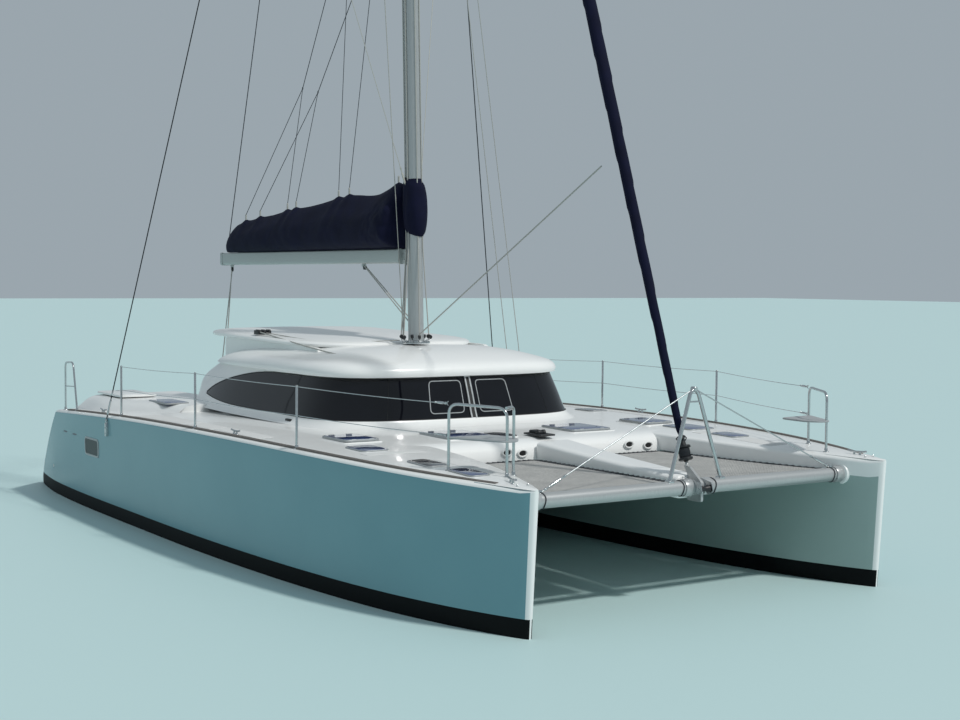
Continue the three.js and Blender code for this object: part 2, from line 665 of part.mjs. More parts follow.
function mast() {
  const a = MAST_FORE_AFT / 2;
  const b = MAST_WIDTH / 2;
  const tube = loft([oval(a, b, 12), oval(a, b, HOUNDS), oval(a * 0.75, b * 0.8, MAST_LENGTH)]);
  const step = rod(at(0, 0, 1), at(0, 0, 40), 190, 16);
  const spreaders = SIDES.map(({ s }) =>
    rod(at(0, 0, SPREADER.z), at(-SPREADER.back, s * SPREADER.out, SPREADER.z + 60), 34, 8, 22));
  const tang = prismY([[0, HOUNDS - 120], [a + 70, HOUNDS - 60], [a + 70, HOUNDS + 20], [0, HOUNDS + 120]], -10, 10);
  const shroudTangs = SIDES.map(({ s }) =>
    box(-30, 30, Math.min(0, s * (b + 45)), Math.max(0, s * (b + 45)), HOUNDS - 60, HOUNDS + 40));
  const lugs = [-LUG_RISE, LUG_RISE].map((dz) =>
    box(goose.x - 40, 0, -38, 38, goose.z + dz - LUG_HALF, goose.z + dz + LUG_HALF));
  const head = box(-a - 180, a + 120, -40, 40, MAST_LENGTH - 60, MAST_LENGTH + 30);
  const wireHole = rod(mastFrame.worldToLocal(STAY_FOOT.clone()), mastFrame.worldToLocal(STAY_HEAD.clone()),
    STAY_R + BEARING_GAP, 24);
  return cut(union([tube, step, ...spreaders, tang, ...shroudTangs, ...lugs, head]), wireHole);
}
add('mast', mast(), 'alloy', mastFrame);

const boomFrame = new THREE.Group();
boomFrame.position.set(GOOSENECK_X, 0, BOOM_Z);
catamaran.add(boomFrame);

function boom() {
  const corner = (x, grow) => {
    const h = BOOM_DEPTH / 2 + grow;
    const w = BOOM_WIDTH / 2 + grow;
    return [at(x, -w, -h * 0.5), at(x, -w * 0.5, -h), at(x, w * 0.5, -h), at(x, w, -h * 0.5), at(x, w, h * 0.6),
      at(x, w * 0.7, h), at(x, -w * 0.7, h), at(x, -w, h * 0.6)];
  };
  const spar = loft([corner(-90, 0), corner(-BOOM_LENGTH, 0)]);
  const end = loft([corner(-BOOM_LENGTH + 60, 8), corner(-BOOM_LENGTH - 30, 8)]);
  const eye = union([rod(at(0, 0, -EYE_HALF), at(0, 0, EYE_HALF), 30, 12), box(-100, 0, -16, 16, -50, 50)]);
  return union([spar, end, eye]);
}
add('boom', boom(), 'boom', boomFrame);

// Stowed sail: x aft of the gooseneck, half width, height of the ridge above the boom's top
const COVER = [
  [-20, 200, 860],
  [-120, 350, 900],
  [-800, 330, 800],
  [-1500, 300, 830],
  [-3000, 265, 710],
  [-4500, 215, 600],
  [-5500, 165, 520],
  [-5830, 110, 400],
  [-5900, 60, 300],
];

function sailCover() {
  const low = BOOM_DEPTH / 2 + GAP;
  return loft(COVER.map(([x, half, ridge]) => {
    const side = [[0.55, 0], [0.95, 0.18], [1, 0.4], [0.72, 0.7], [0.25, 0.95]];
    const ring = [...side, [0, 1], ...[...side].reverse().map(([u, v]) => [-u, v])];
    return ring.map(([u, v]) => at(x, u * half, low + v * ridge));
  }));
}
add('sail_cover', sailCover(), 'canvas', boomFrame);

// Furled headsail: height up the stay, radius of the roll
const ROLL = [[330, 26], [420, 42], [1500, 50], [3200, 64], [5400, 76], [9500, 76], [14500, 52],
  [ROLL_HEAD, 26]];

function turned(profile, sides) {
  const closed = [[profile[0][0], 0], ...profile, [profile.at(-1)[0], 0]];
  const points = closed.map(([z, r]) => new THREE.Vector2(r, z));
  return toSolid(new THREE.LatheGeometry(points, sides).rotateX(Math.PI / 2));
}

add('headsail_roll', turned(ROLL, 12), 'canvas', stayFrame);
add('furler_drum', turned([[DRUM_FOOT, 24], [60, 24], [60, 78], [85, 78], [95, 40], [175, 40], [185, 78],
  [210, 78], [215, 28], [ROLL[0][0] - GAP, 28]], 16), 'wire', stayFrame);

// The bare top of the forestay, from the head of the roll to its tang on the mast
add('forestay_head', union([rod(at(0, 0, ROLL_HEAD + GAP), at(0, 0, STAY_LENGTH - 1), STAY_R, 8),
  rod(at(0, 0, ROLL_HEAD + GAP), at(0, 0, ROLL_HEAD + 180), 28, 10)]), 'steel', stayFrame);

function capShroud(side) {
  const x = CHAINPLATE_X;
  const foot = at(x, side * (HULL_Y + deckHalf(x) + 26), sheer(x) - 120);
  const head = at(0, side * (MAST_WIDTH / 2 + 30), HOUNDS - 62).applyMatrix4(mastFrame.matrixWorld);
  const along = (t) => foot.clone().lerp(head, t);
  const [inner, outer] = [foot.y - side * 90, foot.y + side * 8];
  const plate = box(x - 30, x + 30, Math.min(inner, outer), Math.max(inner, outer), foot.z - 170, foot.z + 20);
  return cut(union([plate, rod(foot, along(0.03), 16, 8), rod(foot, head, 8, 6)]), hullBody(side, GAP));
}
for (const { name, s } of SIDES) add(`cap_shroud_${name}`, capShroud(s), 'wire');

// Pulpits, guardrails and pushpits

const TUBE_R = 14;
const RAIL_TOP = 690;
const RAIL_MID = 370;
const STANCHIONS = [3040, 450, -2160];
const POST_SIDES = 10;
const PUSHPIT_X = [-4760, -4130];

const railPoint = (x, side, height) => at(x, side * (HULL_Y + deckHalf(x) - 85), sheer(x) + height);

// Legs of the pulpit in x and y; its seat hangs between them
const PULPIT_LEGS = { outer: [5280, 2510], front: [5860, 2200], inner: [5740, 2040] };
const PULPIT_TOP = 690;
const PULPIT_SEAT = [[5255, 2560], [5330, 1990], [5730, 1960], [5900, 2090], [5900, 2240]];
const SEAT_HEIGHT = 335;
const SEAT_T = 22;

const pulpitPoint = ([x, y], side, height) => at(x, side * y, sheer(x) + height);

function post(x, side, height) {
  return union([rod(railPoint(x, side, -5), railPoint(x, side, height), TUBE_R, POST_SIDES),
    rod(railPoint(x, side, -5), railPoint(x, side, 40), 26, POST_SIDES)]);
}

// The starboard pulpit has a third leg, inboard
function pulpit(side) {
  const { outer, front, inner } = PULPIT_LEGS;
  const radius = TUBE_R + 1;
  const top = pulpitPoint(front, side, PULPIT_TOP);
  const loop = pipe([pulpitPoint(outer, side, -10), pulpitPoint(outer, side, PULPIT_TOP), top,
    pulpitPoint(front, side, -10)], radius, 8);
  const third = pipe([top, pulpitPoint(inner, side, PULPIT_TOP), pulpitPoint(inner, side, -10)], radius, 8);
  const low = sheer(PULPIT_LEGS.outer[0]) + SEAT_HEIGHT;
  const seat = prismZ(PULPIT_SEAT.map(([x, y]) => [x, side * y]), low, low + SEAT_T);
  return cut(union([loop, seat, ...(side < 0 ? [third] : [])]), hullBody(side, GAP));
}

// Stanchions with two lines, which end at the pulpit; the boarding gate aft of them stands open
function guardrail(side) {
  const posts = STANCHIONS.map((x) => post(x, side, RAIL_TOP + 15));
  const lines = [RAIL_TOP, RAIL_MID].map((height) => {
    const leg = pulpitPoint(PULPIT_LEGS.outer, side, height);
    const points = STANCHIONS.map((x) => railPoint(x, side, height));
    const end = leg.clone().add(points[0].clone().sub(leg).setLength(TUBE_R + 5));
    return union([end, ...points].slice(1).map((p, i) => rod([end, ...points][i], p, 4, 6)));
  });
  return cut(union([...posts, ...lines]), hullBody(side, GAP));
}

function pushpit(side) {
  const feet = PUSHPIT_X.map((x) => railPoint(x, side, -5));
  const tops = [railPoint(PUSHPIT_X[0], side, 730), railPoint(PUSHPIT_X[1] - 200, side, 730)];
  const bar = rod(feet[0].clone().lerp(tops[0], 0.5), feet[1].clone().lerp(tops[1], 0.5), 9, 6);
  return cut(union([pipe([feet[0], tops[0], tops[1], feet[1]], TUBE_R, 9), bar]), hullBody(side, GAP));
}
for (const { name, s } of SIDES) {
  add(`pulpit_${name}`, pulpit(s), 'steel');
  add(`guardrail_${name}`, guardrail(s), 'steel');
  add(`pushpit_${name}`, pushpit(s), 'steel');
}

// Lids: engine hatches, cabin hatches and foredeck lockers

const LID_T = 28;
const LIDS = [];
for (const { name, s } of SIDES) {
  LIDS.push({ name: `engine_hatch_${name}`, paint: 'gelcoat', length: 1050, width: 590, thickness: 30,
    hinge: at(ENGINE_BAY.x1 + 40, s * HULL_Y, ENGINE_HATCH_Z) });
  LIDS.push({ name: `cabin_hatch_${name}`, paint: 'hatch', length: CABIN_HATCH.length, width: CABIN_HATCH.width,
    thickness: LID_T,
    hinge: at(CABIN_HATCH.x + CABIN_HATCH.length / 2, s * CABIN_HATCH.y, sheer(CABIN_HATCH.x) + HATCH_LIFT) });
  LIDS.push({ name: `locker_lid_${name}`, paint: 'hatch', length: LOCKER.length, width: LOCKER.width,
    thickness: LID_T, hinge: at(LOCKER.x + LOCKER.length / 2, s * LOCKER.y, LOCKER_SEAT) });
}
for (const { name, paint, length, width, thickness, hinge } of LIDS) {
  const frame = new THREE.Group();
  frame.position.copy(hinge);
  catamaran.add(frame);
  add(name, box(-length, 0, -width / 2, width / 2, 0, thickness), paint, frame);
}

// Cockpit and saloon furniture

function cockpitBench() {
  const x0 = COCKPIT_AFT_X + GAP;
  const z0 = COCKPIT_SOLE_Z + GAP;
  const across = box(x0, x0 + 560, -WELL_HALF + GAP, WELL_HALF - GAP, z0, z0 + 430);
  const along = box(x0, x0 + 1900, -WELL_HALF + GAP, -WELL_HALF + 560, z0, z0 + 430);
  return union([across, along]);
}
add('cockpit_bench', cockpitBench(), 'cushion');

function table(x, y, z, length, width, height) {
  const top = box(x - length / 2, x + length / 2, y - width / 2, y + width / 2, z + height - 35, z + height);
  const leg = rod(at(x, y, z), at(x, y, z + height - 20), 50, 12);
  return union([top, leg, rod(at(x, y, z), at(x, y, z + 20), 180, 12)]);
}
add('cockpit_table', table(-3750, -150, COCKPIT_SOLE_Z + GAP, 1000, 700, 640), 'teak');
add('saloon_table', table(150, 450, SALOON_SOLE_Z + GAP, 1100, 800, 690), 'teak');

function settee() {
  const z0 = SALOON_SOLE_Z + GAP;
  const across = box(820, 1380, -250, 1280, z0, z0 + 430);
  const along = box(-900, 1380, 1000, WELL_HALF - 10, z0, z0 + 430);
  return union([across, along]);
}
add('saloon_settee', settee(), 'cushion');
add('galley_unit', box(-1700, 900, -WELL_HALF + 5, -WELL_HALF + 600,
  SALOON_SOLE_Z + GAP, SALOON_SOLE_Z + 880), 'teak');

const HELM = { x: -2010, y: 900, z: 1480, r: 330 };

function helmConsole() {
  const z0 = COCKPIT_SOLE_Z + GAP;
  const profile = [[HELM.x - 270, z0], [HELM.x, z0], [HELM.x, z0 + 900], [HELM.x - 120, z0 + 900],
    [HELM.x - 270, z0 + 520]];
  const boss = rod(at(HELM.x - 100, HELM.y, HELM.z), at(HELM.x - 280, HELM.y, HELM.z), 42, 12);
  return union([prismY(profile, HELM.y - 240, HELM.y + 240), boss]);
}
add('helm_console', helmConsole(), 'gelcoat');

const wheelFrame = new THREE.Group();
wheelFrame.position.set(HELM.x - 310, HELM.y, HELM.z);
catamaran.add(wheelFrame);

function steeringWheel() {
  const rim = toSolid(new THREE.TorusGeometry(HELM.r, 14, 8, 28).rotateY(Math.PI / 2));
  const spokes = [0, 1, 2].map((k) => {
    const angle = Math.PI * k / 3;
    const tip = at(0, Math.cos(angle) * HELM.r, Math.sin(angle) * HELM.r);
    return rod(tip.clone().negate(), tip, 7, 6);
  });
  return union([rim, ...spokes, rod(at(-25, 0, 0), at(30 - GAP, 0, 0), 34, 10)]);
}
add('steering_wheel', steeringWheel(), 'steel', wheelFrame);

export default catamaran;
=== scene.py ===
# A cruising catamaran of thirteen metres, afloat: mainsail stowed on the boom, headsail furled,
# nets between the bows. Metres, +X forward, +Y to port, +Z up, origin at the waterline amidships.

import math

import bpy
from mathutils import Matrix, Vector, noise


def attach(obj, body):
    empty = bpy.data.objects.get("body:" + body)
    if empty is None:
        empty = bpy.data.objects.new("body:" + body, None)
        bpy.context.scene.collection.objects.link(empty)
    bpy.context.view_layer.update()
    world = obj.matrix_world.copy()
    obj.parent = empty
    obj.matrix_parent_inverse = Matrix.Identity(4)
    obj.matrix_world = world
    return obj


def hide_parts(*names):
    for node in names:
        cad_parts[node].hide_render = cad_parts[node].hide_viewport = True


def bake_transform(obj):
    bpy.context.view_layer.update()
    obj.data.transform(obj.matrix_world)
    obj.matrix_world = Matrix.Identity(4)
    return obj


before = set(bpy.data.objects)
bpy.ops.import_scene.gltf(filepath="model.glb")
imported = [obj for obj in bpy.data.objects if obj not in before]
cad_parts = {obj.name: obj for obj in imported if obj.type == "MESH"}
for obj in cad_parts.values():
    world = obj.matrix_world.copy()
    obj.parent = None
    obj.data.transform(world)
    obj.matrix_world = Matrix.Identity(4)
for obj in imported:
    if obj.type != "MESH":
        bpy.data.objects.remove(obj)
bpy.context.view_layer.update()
SIDES = (("starboard", -1), ("port", 1))


# The view: from low off the starboard bow, looking aft over both hulls.
camera_data = bpy.data.cameras.new("off_the_starboard_bow")
camera_data.sensor_width = 36
camera_data.lens = 56.6
camera_data.clip_end = 300
camera = bpy.data.objects.new("off_the_starboard_bow", camera_data)
bpy.context.scene.collection.objects.link(camera)
HEADING, DOWN, ROLL = 2.560, 0.054, 0.008
turn = Matrix.Rotation(HEADING - math.pi / 2, 4, "Z") @ Matrix.Rotation(math.pi / 2 - DOWN, 4, "X")
camera.matrix_world = Matrix.Translation((17.99, -10.5, 3.396)) @ turn @ Matrix.Rotation(ROLL, 4, "Z")
bpy.context.scene.camera = camera
bpy.context.scene.view_settings.view_transform = "Standard"


# The studio: a pale sea-green floor at the waterline, an even sky, and one high lamp ahead to port,
# so that the decks and stems are bright and the starboard topsides lie in soft shade.
def linear(hex_colour):
    """A colour of the screen, such as "e7eaea", as the linear values that a shader takes."""
    parts = [int(hex_colour[i:i + 2], 16) / 255 for i in (0, 2, 4)]
    return [p / 12.92 if p <= 0.04045 else ((p + 0.055) / 1.055) ** 2.4 for p in parts] + [1]


def add_node(material, kind, links=None, **settings):
    """Adds a node with its settings; links gives each input a value or another node's output."""
    made = material.node_tree.nodes.new(kind)
    for key, value in settings.items():
        setattr(made, key, value)
    for key, value in (links or {}).items():
        socket = made.inputs[key]
        if isinstance(value, bpy.types.NodeSocket):
            material.node_tree.links.new(value, socket)
        else:
            socket.default_value = value
    return made


def new_material(name, hex_colour, roughness, **settings):
    """A material named for the real finish, with its colour and plain values on the shader."""
    material = bpy.data.materials.new(name)
    material.use_nodes = True
    shader = material.node_tree.nodes["Principled BSDF"]
    shader.inputs["Base Color"].default_value = linear(hex_colour)
    shader.inputs["Roughness"].default_value = roughness
    for key, value in settings.items():
        shader.inputs[key.replace("_", " ")].default_value = value
    return material, shader


world = bpy.data.worlds.new("even_sky")
bpy.context.scene.world = world
world.use_nodes = True
world.node_tree.nodes["Background"].inputs["Color"].default_value = linear("d3e2ec")
world.node_tree.nodes["Background"].inputs["Strength"].default_value = 0.5
lamp = bpy.data.lights.new("high_lamp", "SUN")
lamp.energy = 2.1
lamp.angle = 0.07
lamp.color = (1.0, 0.975, 0.94)
lamp_object = bpy.data.objects.new("high_lamp", lamp)
lamp_object.rotation_euler = Vector((0.68, 0.30, 0.92)).to_track_quat("Z", "Y").to_euler()
bpy.context.scene.collection.objects.link(lamp_object)


def deselect():
    if bpy.context.object and bpy.context.object.mode != "OBJECT":
        bpy.ops.object.mode_set(mode="OBJECT")
    bpy.ops.object.select_all(action="DESELECT")


def start(name):
    """Names the primitive just added and applies its place, so that it lies in the mesh."""
    piece = bpy.context.object
    piece.name = name
    bpy.ops.object.transform_apply(location=True, rotation=True, scale=True)
    return piece


deselect()
bpy.ops.mesh.primitive_grid_add(x_subdivisions=4, y_subdivisions=4, size=400)
floor = start("studio_floor")
floor.data.materials.append(new_material("pale_matt_floor", "c2dddd", 0.55)[0])


# Hulls: two long narrow shells of glass fibre, moulded in white gelcoat, with plumb stems, a rounded
# gunwale and a sloping stern cut into steps. A black boot top runs along the waterline.
STATIONS = (  # x, half breadth at the deck, half breadth at the waterline, depth below the water
    (6.505, 0.012, 0.010, 0.03),
    (6.497, 0.028, 0.024, 0.05),
    (6.47, 0.050, 0.043, 0.09),
    (6.38, 0.100, 0.084, 0.19),
    (6.13, 0.215, 0.180, 0.33),
    (5.6, 0.400, 0.350, 0.45),
    (4.8, 0.590, 0.535, 0.54),
    (3.8, 0.735, 0.680, 0.60),
    (2.4, 0.850, 0.800, 0.64),
    (0.5, 0.918, 0.875, 0.65),
    (-1.8, 0.920, 0.880, 0.63),
    (-3.8, 0.900, 0.860, 0.54),
    (-5.2, 0.830, 0.790, 0.38),
    (-6.1, 0.720, 0.670, 0.23),
    (-6.5, 0.640, 0.590, 0.15),
)
HULL_Y = 2.36
BOOT_TOP = 0.19
RAKE, RAKE_HEIGHT = 0.09, 1.415  # how far the stem leans forward, and over what height


def sheer(x):
    return 1.495 + 0.0146 * x - 0.0041 * x * x


def mix(a, b, t):
    return a + (b - a) * t


def between(rows, value):
    """The row of a table at any value of its first column, on a smooth curve through the rows."""
    falling = rows[0][0] > rows[-1][0]
    i = 1
    while i < len(rows) - 1 and ((rows[i][0] > value) if falling else (rows[i][0] < value)):
        i += 1
    low, high = rows[i - 1], rows[i]
    before, after = rows[max(0, i - 2)], rows[min(len(rows) - 1, i + 1)]
    t = min(1, max(0, (value - low[0]) / (high[0] - low[0])))
    span = high[0] - low[0]
    result = []
    for k in range(1, len(low)):
        slope_low = (high[k] - before[k]) / (high[0] - before[0]) * span
        slope_high = (after[k] - low[k]) / (after[0] - low[0]) * span
        cubic = (2 * t ** 3 - 3 * t * t + 1) * low[k] + (t ** 3 - 2 * t * t + t) * slope_low
        result.append(cubic + (3 * t * t - 2 * t ** 3) * high[k] + (t ** 3 - t * t) * slope_high)
    return result


def hull_half(x, deck, water, depth):
    """Half a section of the hull, from the middle of the deck over the gunwale to the keel line."""
    top = sheer(x)
    round_in = min(0.045, deck * 0.45)
    points = [(deck * s, top + 0.018 * (1 - s * s)) for s in (0, 0.3, 0.6, 0.85)]
    for step in range(7):
        angle = math.pi / 2 * step / 6
        points.append((deck - round_in + round_in * math.sin(angle),
                       top - round_in * (1 - math.cos(angle))))
    for step in range(1, 9):
        z = mix(top - round_in, BOOT_TOP, step / 8)
        share = between(((BOOT_TOP, 0.85), (0.76, 0.45), (top - round_in, 0.0)), z)[0]
        points.append((mix(deck, water, share), z))
    points.append((mix(deck, water, 0.95), 0.08))
    for step in range(11):
        angle = math.pi / 2 * step / 10
        points.append((water * math.cos(angle) ** 0.85, -depth * math.sin(angle) ** 1.15))
    return points


def loft(name, sections, closed=True, ends=True):
    """A skin on a grid whose rows are laid on sections of equal count; its ends are filled."""
    deselect()
    rows, count = len(sections), len(sections[0])
    across = count if closed else count - 1
    bpy.ops.mesh.primitive_grid_add(x_subdivisions=across, y_subdivisions=rows - 1, size=2)
    piece = start(name)
    for vertex in piece.data.vertices:
        row = round((vertex.co.y + 1) / 2 * (rows - 1))
        column = round((vertex.co.x + 1) / 2 * across) % count
        vertex.co = sections[row][column]
    bpy.ops.object.mode_set(mode="EDIT")
    bpy.ops.mesh.select_all(action="SELECT")
    bpy.ops.mesh.remove_doubles(threshold=0.00002)
    if ends:
        bpy.ops.mesh.fill_holes(sides=0)
        bpy.ops.mesh.select_all(action="SELECT")
    bpy.ops.mesh.normals_make_consistent(inside=False)
    bpy.ops.object.mode_set(mode="OBJECT")
    return piece


def apply(piece, kind, **settings):
    """Adds a modifier to a piece and applies it."""
    deselect()
    piece.select_set(True)
    bpy.context.view_layer.objects.active = piece
    modifier = piece.modifiers.new(kind.lower(), kind)
    for key, value in settings.items():
        setattr(modifier, key, value)
    bpy.ops.object.modifier_apply(modifier=modifier.name)


def block(name, low, high):
    """A box between two corners, as the start of a piece or as a cutter."""
    deselect()
    bpy.ops.mesh.primitive_cube_add(size=1, location=[(a + b) / 2 for a, b in zip(low, high)])
    bpy.context.object.scale = [abs(b - a) for a, b in zip(low, high)]
    return start(name)


def carve(piece, *cutters):
    """Cuts other meshes out of a piece and removes them."""
    for cutter in cutters:
        apply(piece, "BOOLEAN", operation="DIFFERENCE", solver="EXACT", object=cutter)
        bpy.data.objects.remove(cutter)


def fit(piece, body, material, slot, *nodes, angle=35):
    """Gives a piece its finish, soft shading, its body and the solids it stands for; its slot is not used.
    """
    deselect()
    piece.select_set(True)
    bpy.context.view_layer.objects.active = piece
    piece.data.materials.clear()
    piece.data.materials.append(material)
    if angle:
        bpy.ops.object.shade_smooth_by_angle(angle=math.radians(angle))
    if body:
        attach(piece, body)
    if nodes:
        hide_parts(*nodes)
    return piece


# Polyester gelcoat, sprayed in a polished mould: glossy, with a faint long ripple. The topsides are white
# gelcoat,
# painted here grey green: painted shade with a painted reflection of the floor below. Their inboard faces
# are painted a duller grey, the painted shade between the hulls.
gelcoat, gelcoat_shader = new_material("moulded_gelcoat", "f0f1ef", 0.28, IOR=1.5, Coat_Weight=0.25)
place = add_node(gelcoat, "ShaderNodeTexCoord").outputs["Object"]
ripple = add_node(gelcoat, "ShaderNodeTexNoise", {"Vector": place, "Scale": 3.0, "Detail": 2.0})
grime = add_node(gelcoat, "ShaderNodeTexNoise", {"Vector": place, "Scale": 1.3, "Detail": 6.0,
                                                 "Roughness": 0.6})
tone = add_node(gelcoat, "ShaderNodeMix", {"Factor": grime.outputs["Fac"], "A": linear("eceeed"),
                                           "B": linear("f5f6f4")},
                data_type="RGBA")
gelcoat.node_tree.links.new(tone.outputs["Result"], gelcoat_shader.inputs["Base Color"])
bump = add_node(gelcoat, "ShaderNodeBump", {"Height": ripple.outputs["Fac"], "Strength": 0.06,
                                            "Distance": 0.01})
gelcoat.node_tree.links.new(bump.outputs["Normal"], gelcoat_shader.inputs["Normal"])

topsides, topside_shader = new_material("topside_gelcoat_painted_shade", "6c9ca6", 0.25, IOR=1.5, Coat_Weight=0.15)
place = add_node(topsides, "ShaderNodeTexCoord").outputs["Object"]
streaks = add_node(topsides, "ShaderNodeTexNoise", {"Vector": place, "Scale": 0.9,
                                                    "Detail": 5.0}).outputs["Fac"]
upper = add_node(topsides, "ShaderNodeMix", {"Factor": streaks, "A": linear("62929d"),
                                             "B": linear("719fa9")},
                 data_type="RGBA").outputs["Result"]
topsides.node_tree.links.new(upper, topside_shader.inputs["Base Color"])
swell = add_node(topsides, "ShaderNodeTexNoise", {"Vector": place, "Scale": 2.2,
                                                  "Detail": 2.0}).outputs["Fac"]
bump = add_node(topsides, "ShaderNodeBump", {"Height": swell, "Strength": 0.08, "Distance": 0.012})
topsides.node_tree.links.new(bump.outputs["Normal"], topside_shader.inputs["Normal"])

inboard_gelcoat = topsides.copy()
inboard_gelcoat.name = "inboard_gelcoat_in_shade"
for node in inboard_gelcoat.node_tree.nodes:
    if node.bl_idname == "ShaderNodeMix":
        node.inputs["A"].default_value = linear("8fa6a3")
        node.inputs["B"].default_value = linear("a3b8b4")

# The boot top is matt antifouling paint, rolled on, nearly black when it is wet.
boot_paint, boot_shader = new_material("boot_top_paint", "06080a", 0.6, IOR=1.45, Specular_IOR_Level=0.15)
place = add_node(boot_paint, "ShaderNodeTexCoord").outputs["Object"]
rolled = add_node(boot_paint, "ShaderNodeTexNoise", {"Vector": place, "Scale": 14.0,
                                                     "Detail": 6.0}).outputs["Fac"]
tone = add_node(boot_paint, "ShaderNodeMix", {"Factor": rolled, "A": linear("040607"),
                                              "B": linear("0c1012")},
                data_type="RGBA").outputs["Result"]
boot_paint.node_tree.links.new(tone, boot_shader.inputs["Base Color"])

STERN_X = -5.0
NET_EDGE_Z = 1.25
TOPSIDE_FINISH, DECK_FINISH, INBOARD_FINISH, BOOT_FINISH = range(4)
STEPS = ((0.96, -5.06), (0.60, -5.48), (0.24, -5.90))
ENGINE_BAY = (-4.70, -3.74, 0.255)
for name, s in SIDES:
    sections = []
    places = [row[0] for row in STATIONS[:4]] + [6.38 - 0.125 * k for k in range(1, 104)]
    for x in places:
        half = hull_half(x, *between(STATIONS, x))
        ring = half + [(-y, z) for y, z in reversed(half[1:-1])]
        bowward = min(1, max(0, (x - 4.5) / 2))
        lean = RAKE * bowward ** 2
        sections.append([Vector((x + lean * z / RAKE_HEIGHT, s * HULL_Y + y, z)) for y, z in ring])
    hull = loft(f"hull_shell_{name}", sections)
    y = s * HULL_Y
    slope = block("stern_slope", (-7.4, y - 1.2, 0.09), (STERN_X, y + 1.2, sheer(STERN_X)))
    for vertex in slope.data.vertices:
        if vertex.co.x > -6 and vertex.co.z < 1:
            vertex.co.x = -6.51
    above = block("above_the_slope", (-7.4, y - 1.2, sheer(STERN_X) - 0.001), (STERN_X, y + 1.2, 3))
    aft, fore, half = ENGINE_BAY
    bay = block("engine_bay", (aft, y - half, -0.2), (fore, y + half, 2))
    well = block("cabin_well", (2.37, s * 2.2 - 0.2, sheer(2.65) - 0.25), (2.93, s * 2.2 + 0.2, 2))
    cutters = [slope, above, bay, well]
    for z, x in STEPS:
        cutters.append(block("step", (-7, y - 0.43, z), (x, y + 0.43, 2)))
    carve(hull, *cutters)
    fit(hull, "boat", topsides, "gelcoat", f"hull_{name}", angle=30)
    hull.data.materials.append(gelcoat)
    hull.data.materials.append(inboard_gelcoat)
    hull.data.materials.append(boot_paint)
    # Faces turned up, the stems, the stern cuts and the inboard faces above the nets keep the white gelcoat;
    # the other faces above the boot top take the painted shade of the topside and inboard finishes.
    for face in hull.data.polygons:
        x, z, facing = face.center.x, face.center.z, face.normal
        stem = x > 6.44 + RAKE * z / RAKE_HEIGHT
        cut = x < STERN_X and abs(facing.y) < 0.3
        inboard = s * facing.y < -0.05
        if z < BOOT_TOP:
            face.material_index = BOOT_FINISH
        elif facing.z > 0.3 or stem or cut or (inboard and z > NET_EDGE_Z):
            face.material_index = DECK_FINISH
        else:
            face.material_index = INBOARD_FINISH if inboard else TOPSIDE_FINISH


# The raised aft deck: a bench of moulding along each side of the cockpit, with a soft crease where
# its top turns down to the side deck. The engine hatch lies on it.
def rounded(points, bend, closed=False, steps=6):
    """A path through points whose corners are turned with a given reach."""
    points = [Vector(p) for p in points]
    corners = list(zip(points, points[1:], points[2:]))
    if closed:
        corners = list(zip(points[-1:] + points[:-1], points, points[1:] + points[:1]))
    path = [] if closed else [points[0]]
    for before, corner, after in corners:
        reach = min(bend, (corner - before).length * 0.48, (after - corner).length * 0.48)
        first = corner + (before - corner).normalized() * reach
        last = corner + (after - corner).normalized() * reach
        for k in range(steps + 1):
            t = k / steps
            path.append(first * (1 - t) ** 2 + corner * 2 * t * (1 - t) + last * t * t)
    return path if closed else path + [points[-1]]


AFT_DECK = ((-4.95, 0.20, 0.13), (-4.88, 0.06, 0.13), (-4.78, 0.012, 0.13), (-3.6, 0.0, 0.06),
            (-2.2, 0.0, 0.62))
for name, s in SIDES:
    sections = []
    for k in range(56):
        x = -4.95 + 2.75 * (k / 55) ** 1.3
        drop, narrow = between(AFT_DECK, x)
        low = sheer(x) - 0.06
        ring = [(x, 1.3, low), (x, 1.3, 1.575 - drop), (x, 2.76 - narrow, 1.562 - drop),
                (x, 2.9 - narrow, 1.52 - drop), (x, 3.05 - narrow, 1.36), (x, 3.07 - narrow, low)]
        sections.append([Vector((px, s * py, pz)) for px, py, pz in rounded(ring, 0.09, closed=True)])
    raised = loft(f"aft_deck_{name}", sections)
    aft, fore, half = ENGINE_BAY
    carve(raised, block("bay", (aft, s * HULL_Y - half, 1), (fore, s * HULL_Y + half, 2)))
    fit(raised, "boat", gelcoat, "gelcoat", angle=30)


# The deck between the hulls: saloon floor, cockpit well and foredeck in one moulding, which lies over
# the inboard edges of the hulls. Its front drops to the nets in a round shoulder.
DECK_TOP = ((-5.06, 0.02), (-2.2, 0.03), (1.0, 0.022), (2.6, 0.02), (3.35, 0.012), (3.52, -0.015),
            (3.60, -0.07), (3.63, -0.16), (3.64, -0.24))
UNDERSIDE = ((-5.06, 0.64), (1.2, 0.64), (1.9, 0.70), (2.7, 0.84), (3.3, 1.09), (3.64, 1.2))


def deck_ring(x):
    top = sheer(x) + between(DECK_TOP, x)[0]
    low = between(UNDERSIDE, x)[0]
    wide = 1.96 if x < 3 else 1.96 - 0.10 * (x - 3)
    inner = min(1.5, HULL_Y - between(STATIONS, min(x, 6))[0] + 0.1)
    ring = [(x, 0, top), (x, wide - 0.22, top), (x, wide, min(top, sheer(x) + 0.012)),
            (x, wide, top - 0.09), (x, inner, top - 0.14), (x, inner - 0.05, low), (x, 0, low)]
    path = rounded(ring, 0.10)
    return path + [Vector((p.x, -p.y, p.z)) for p in reversed(path[1:-1])]


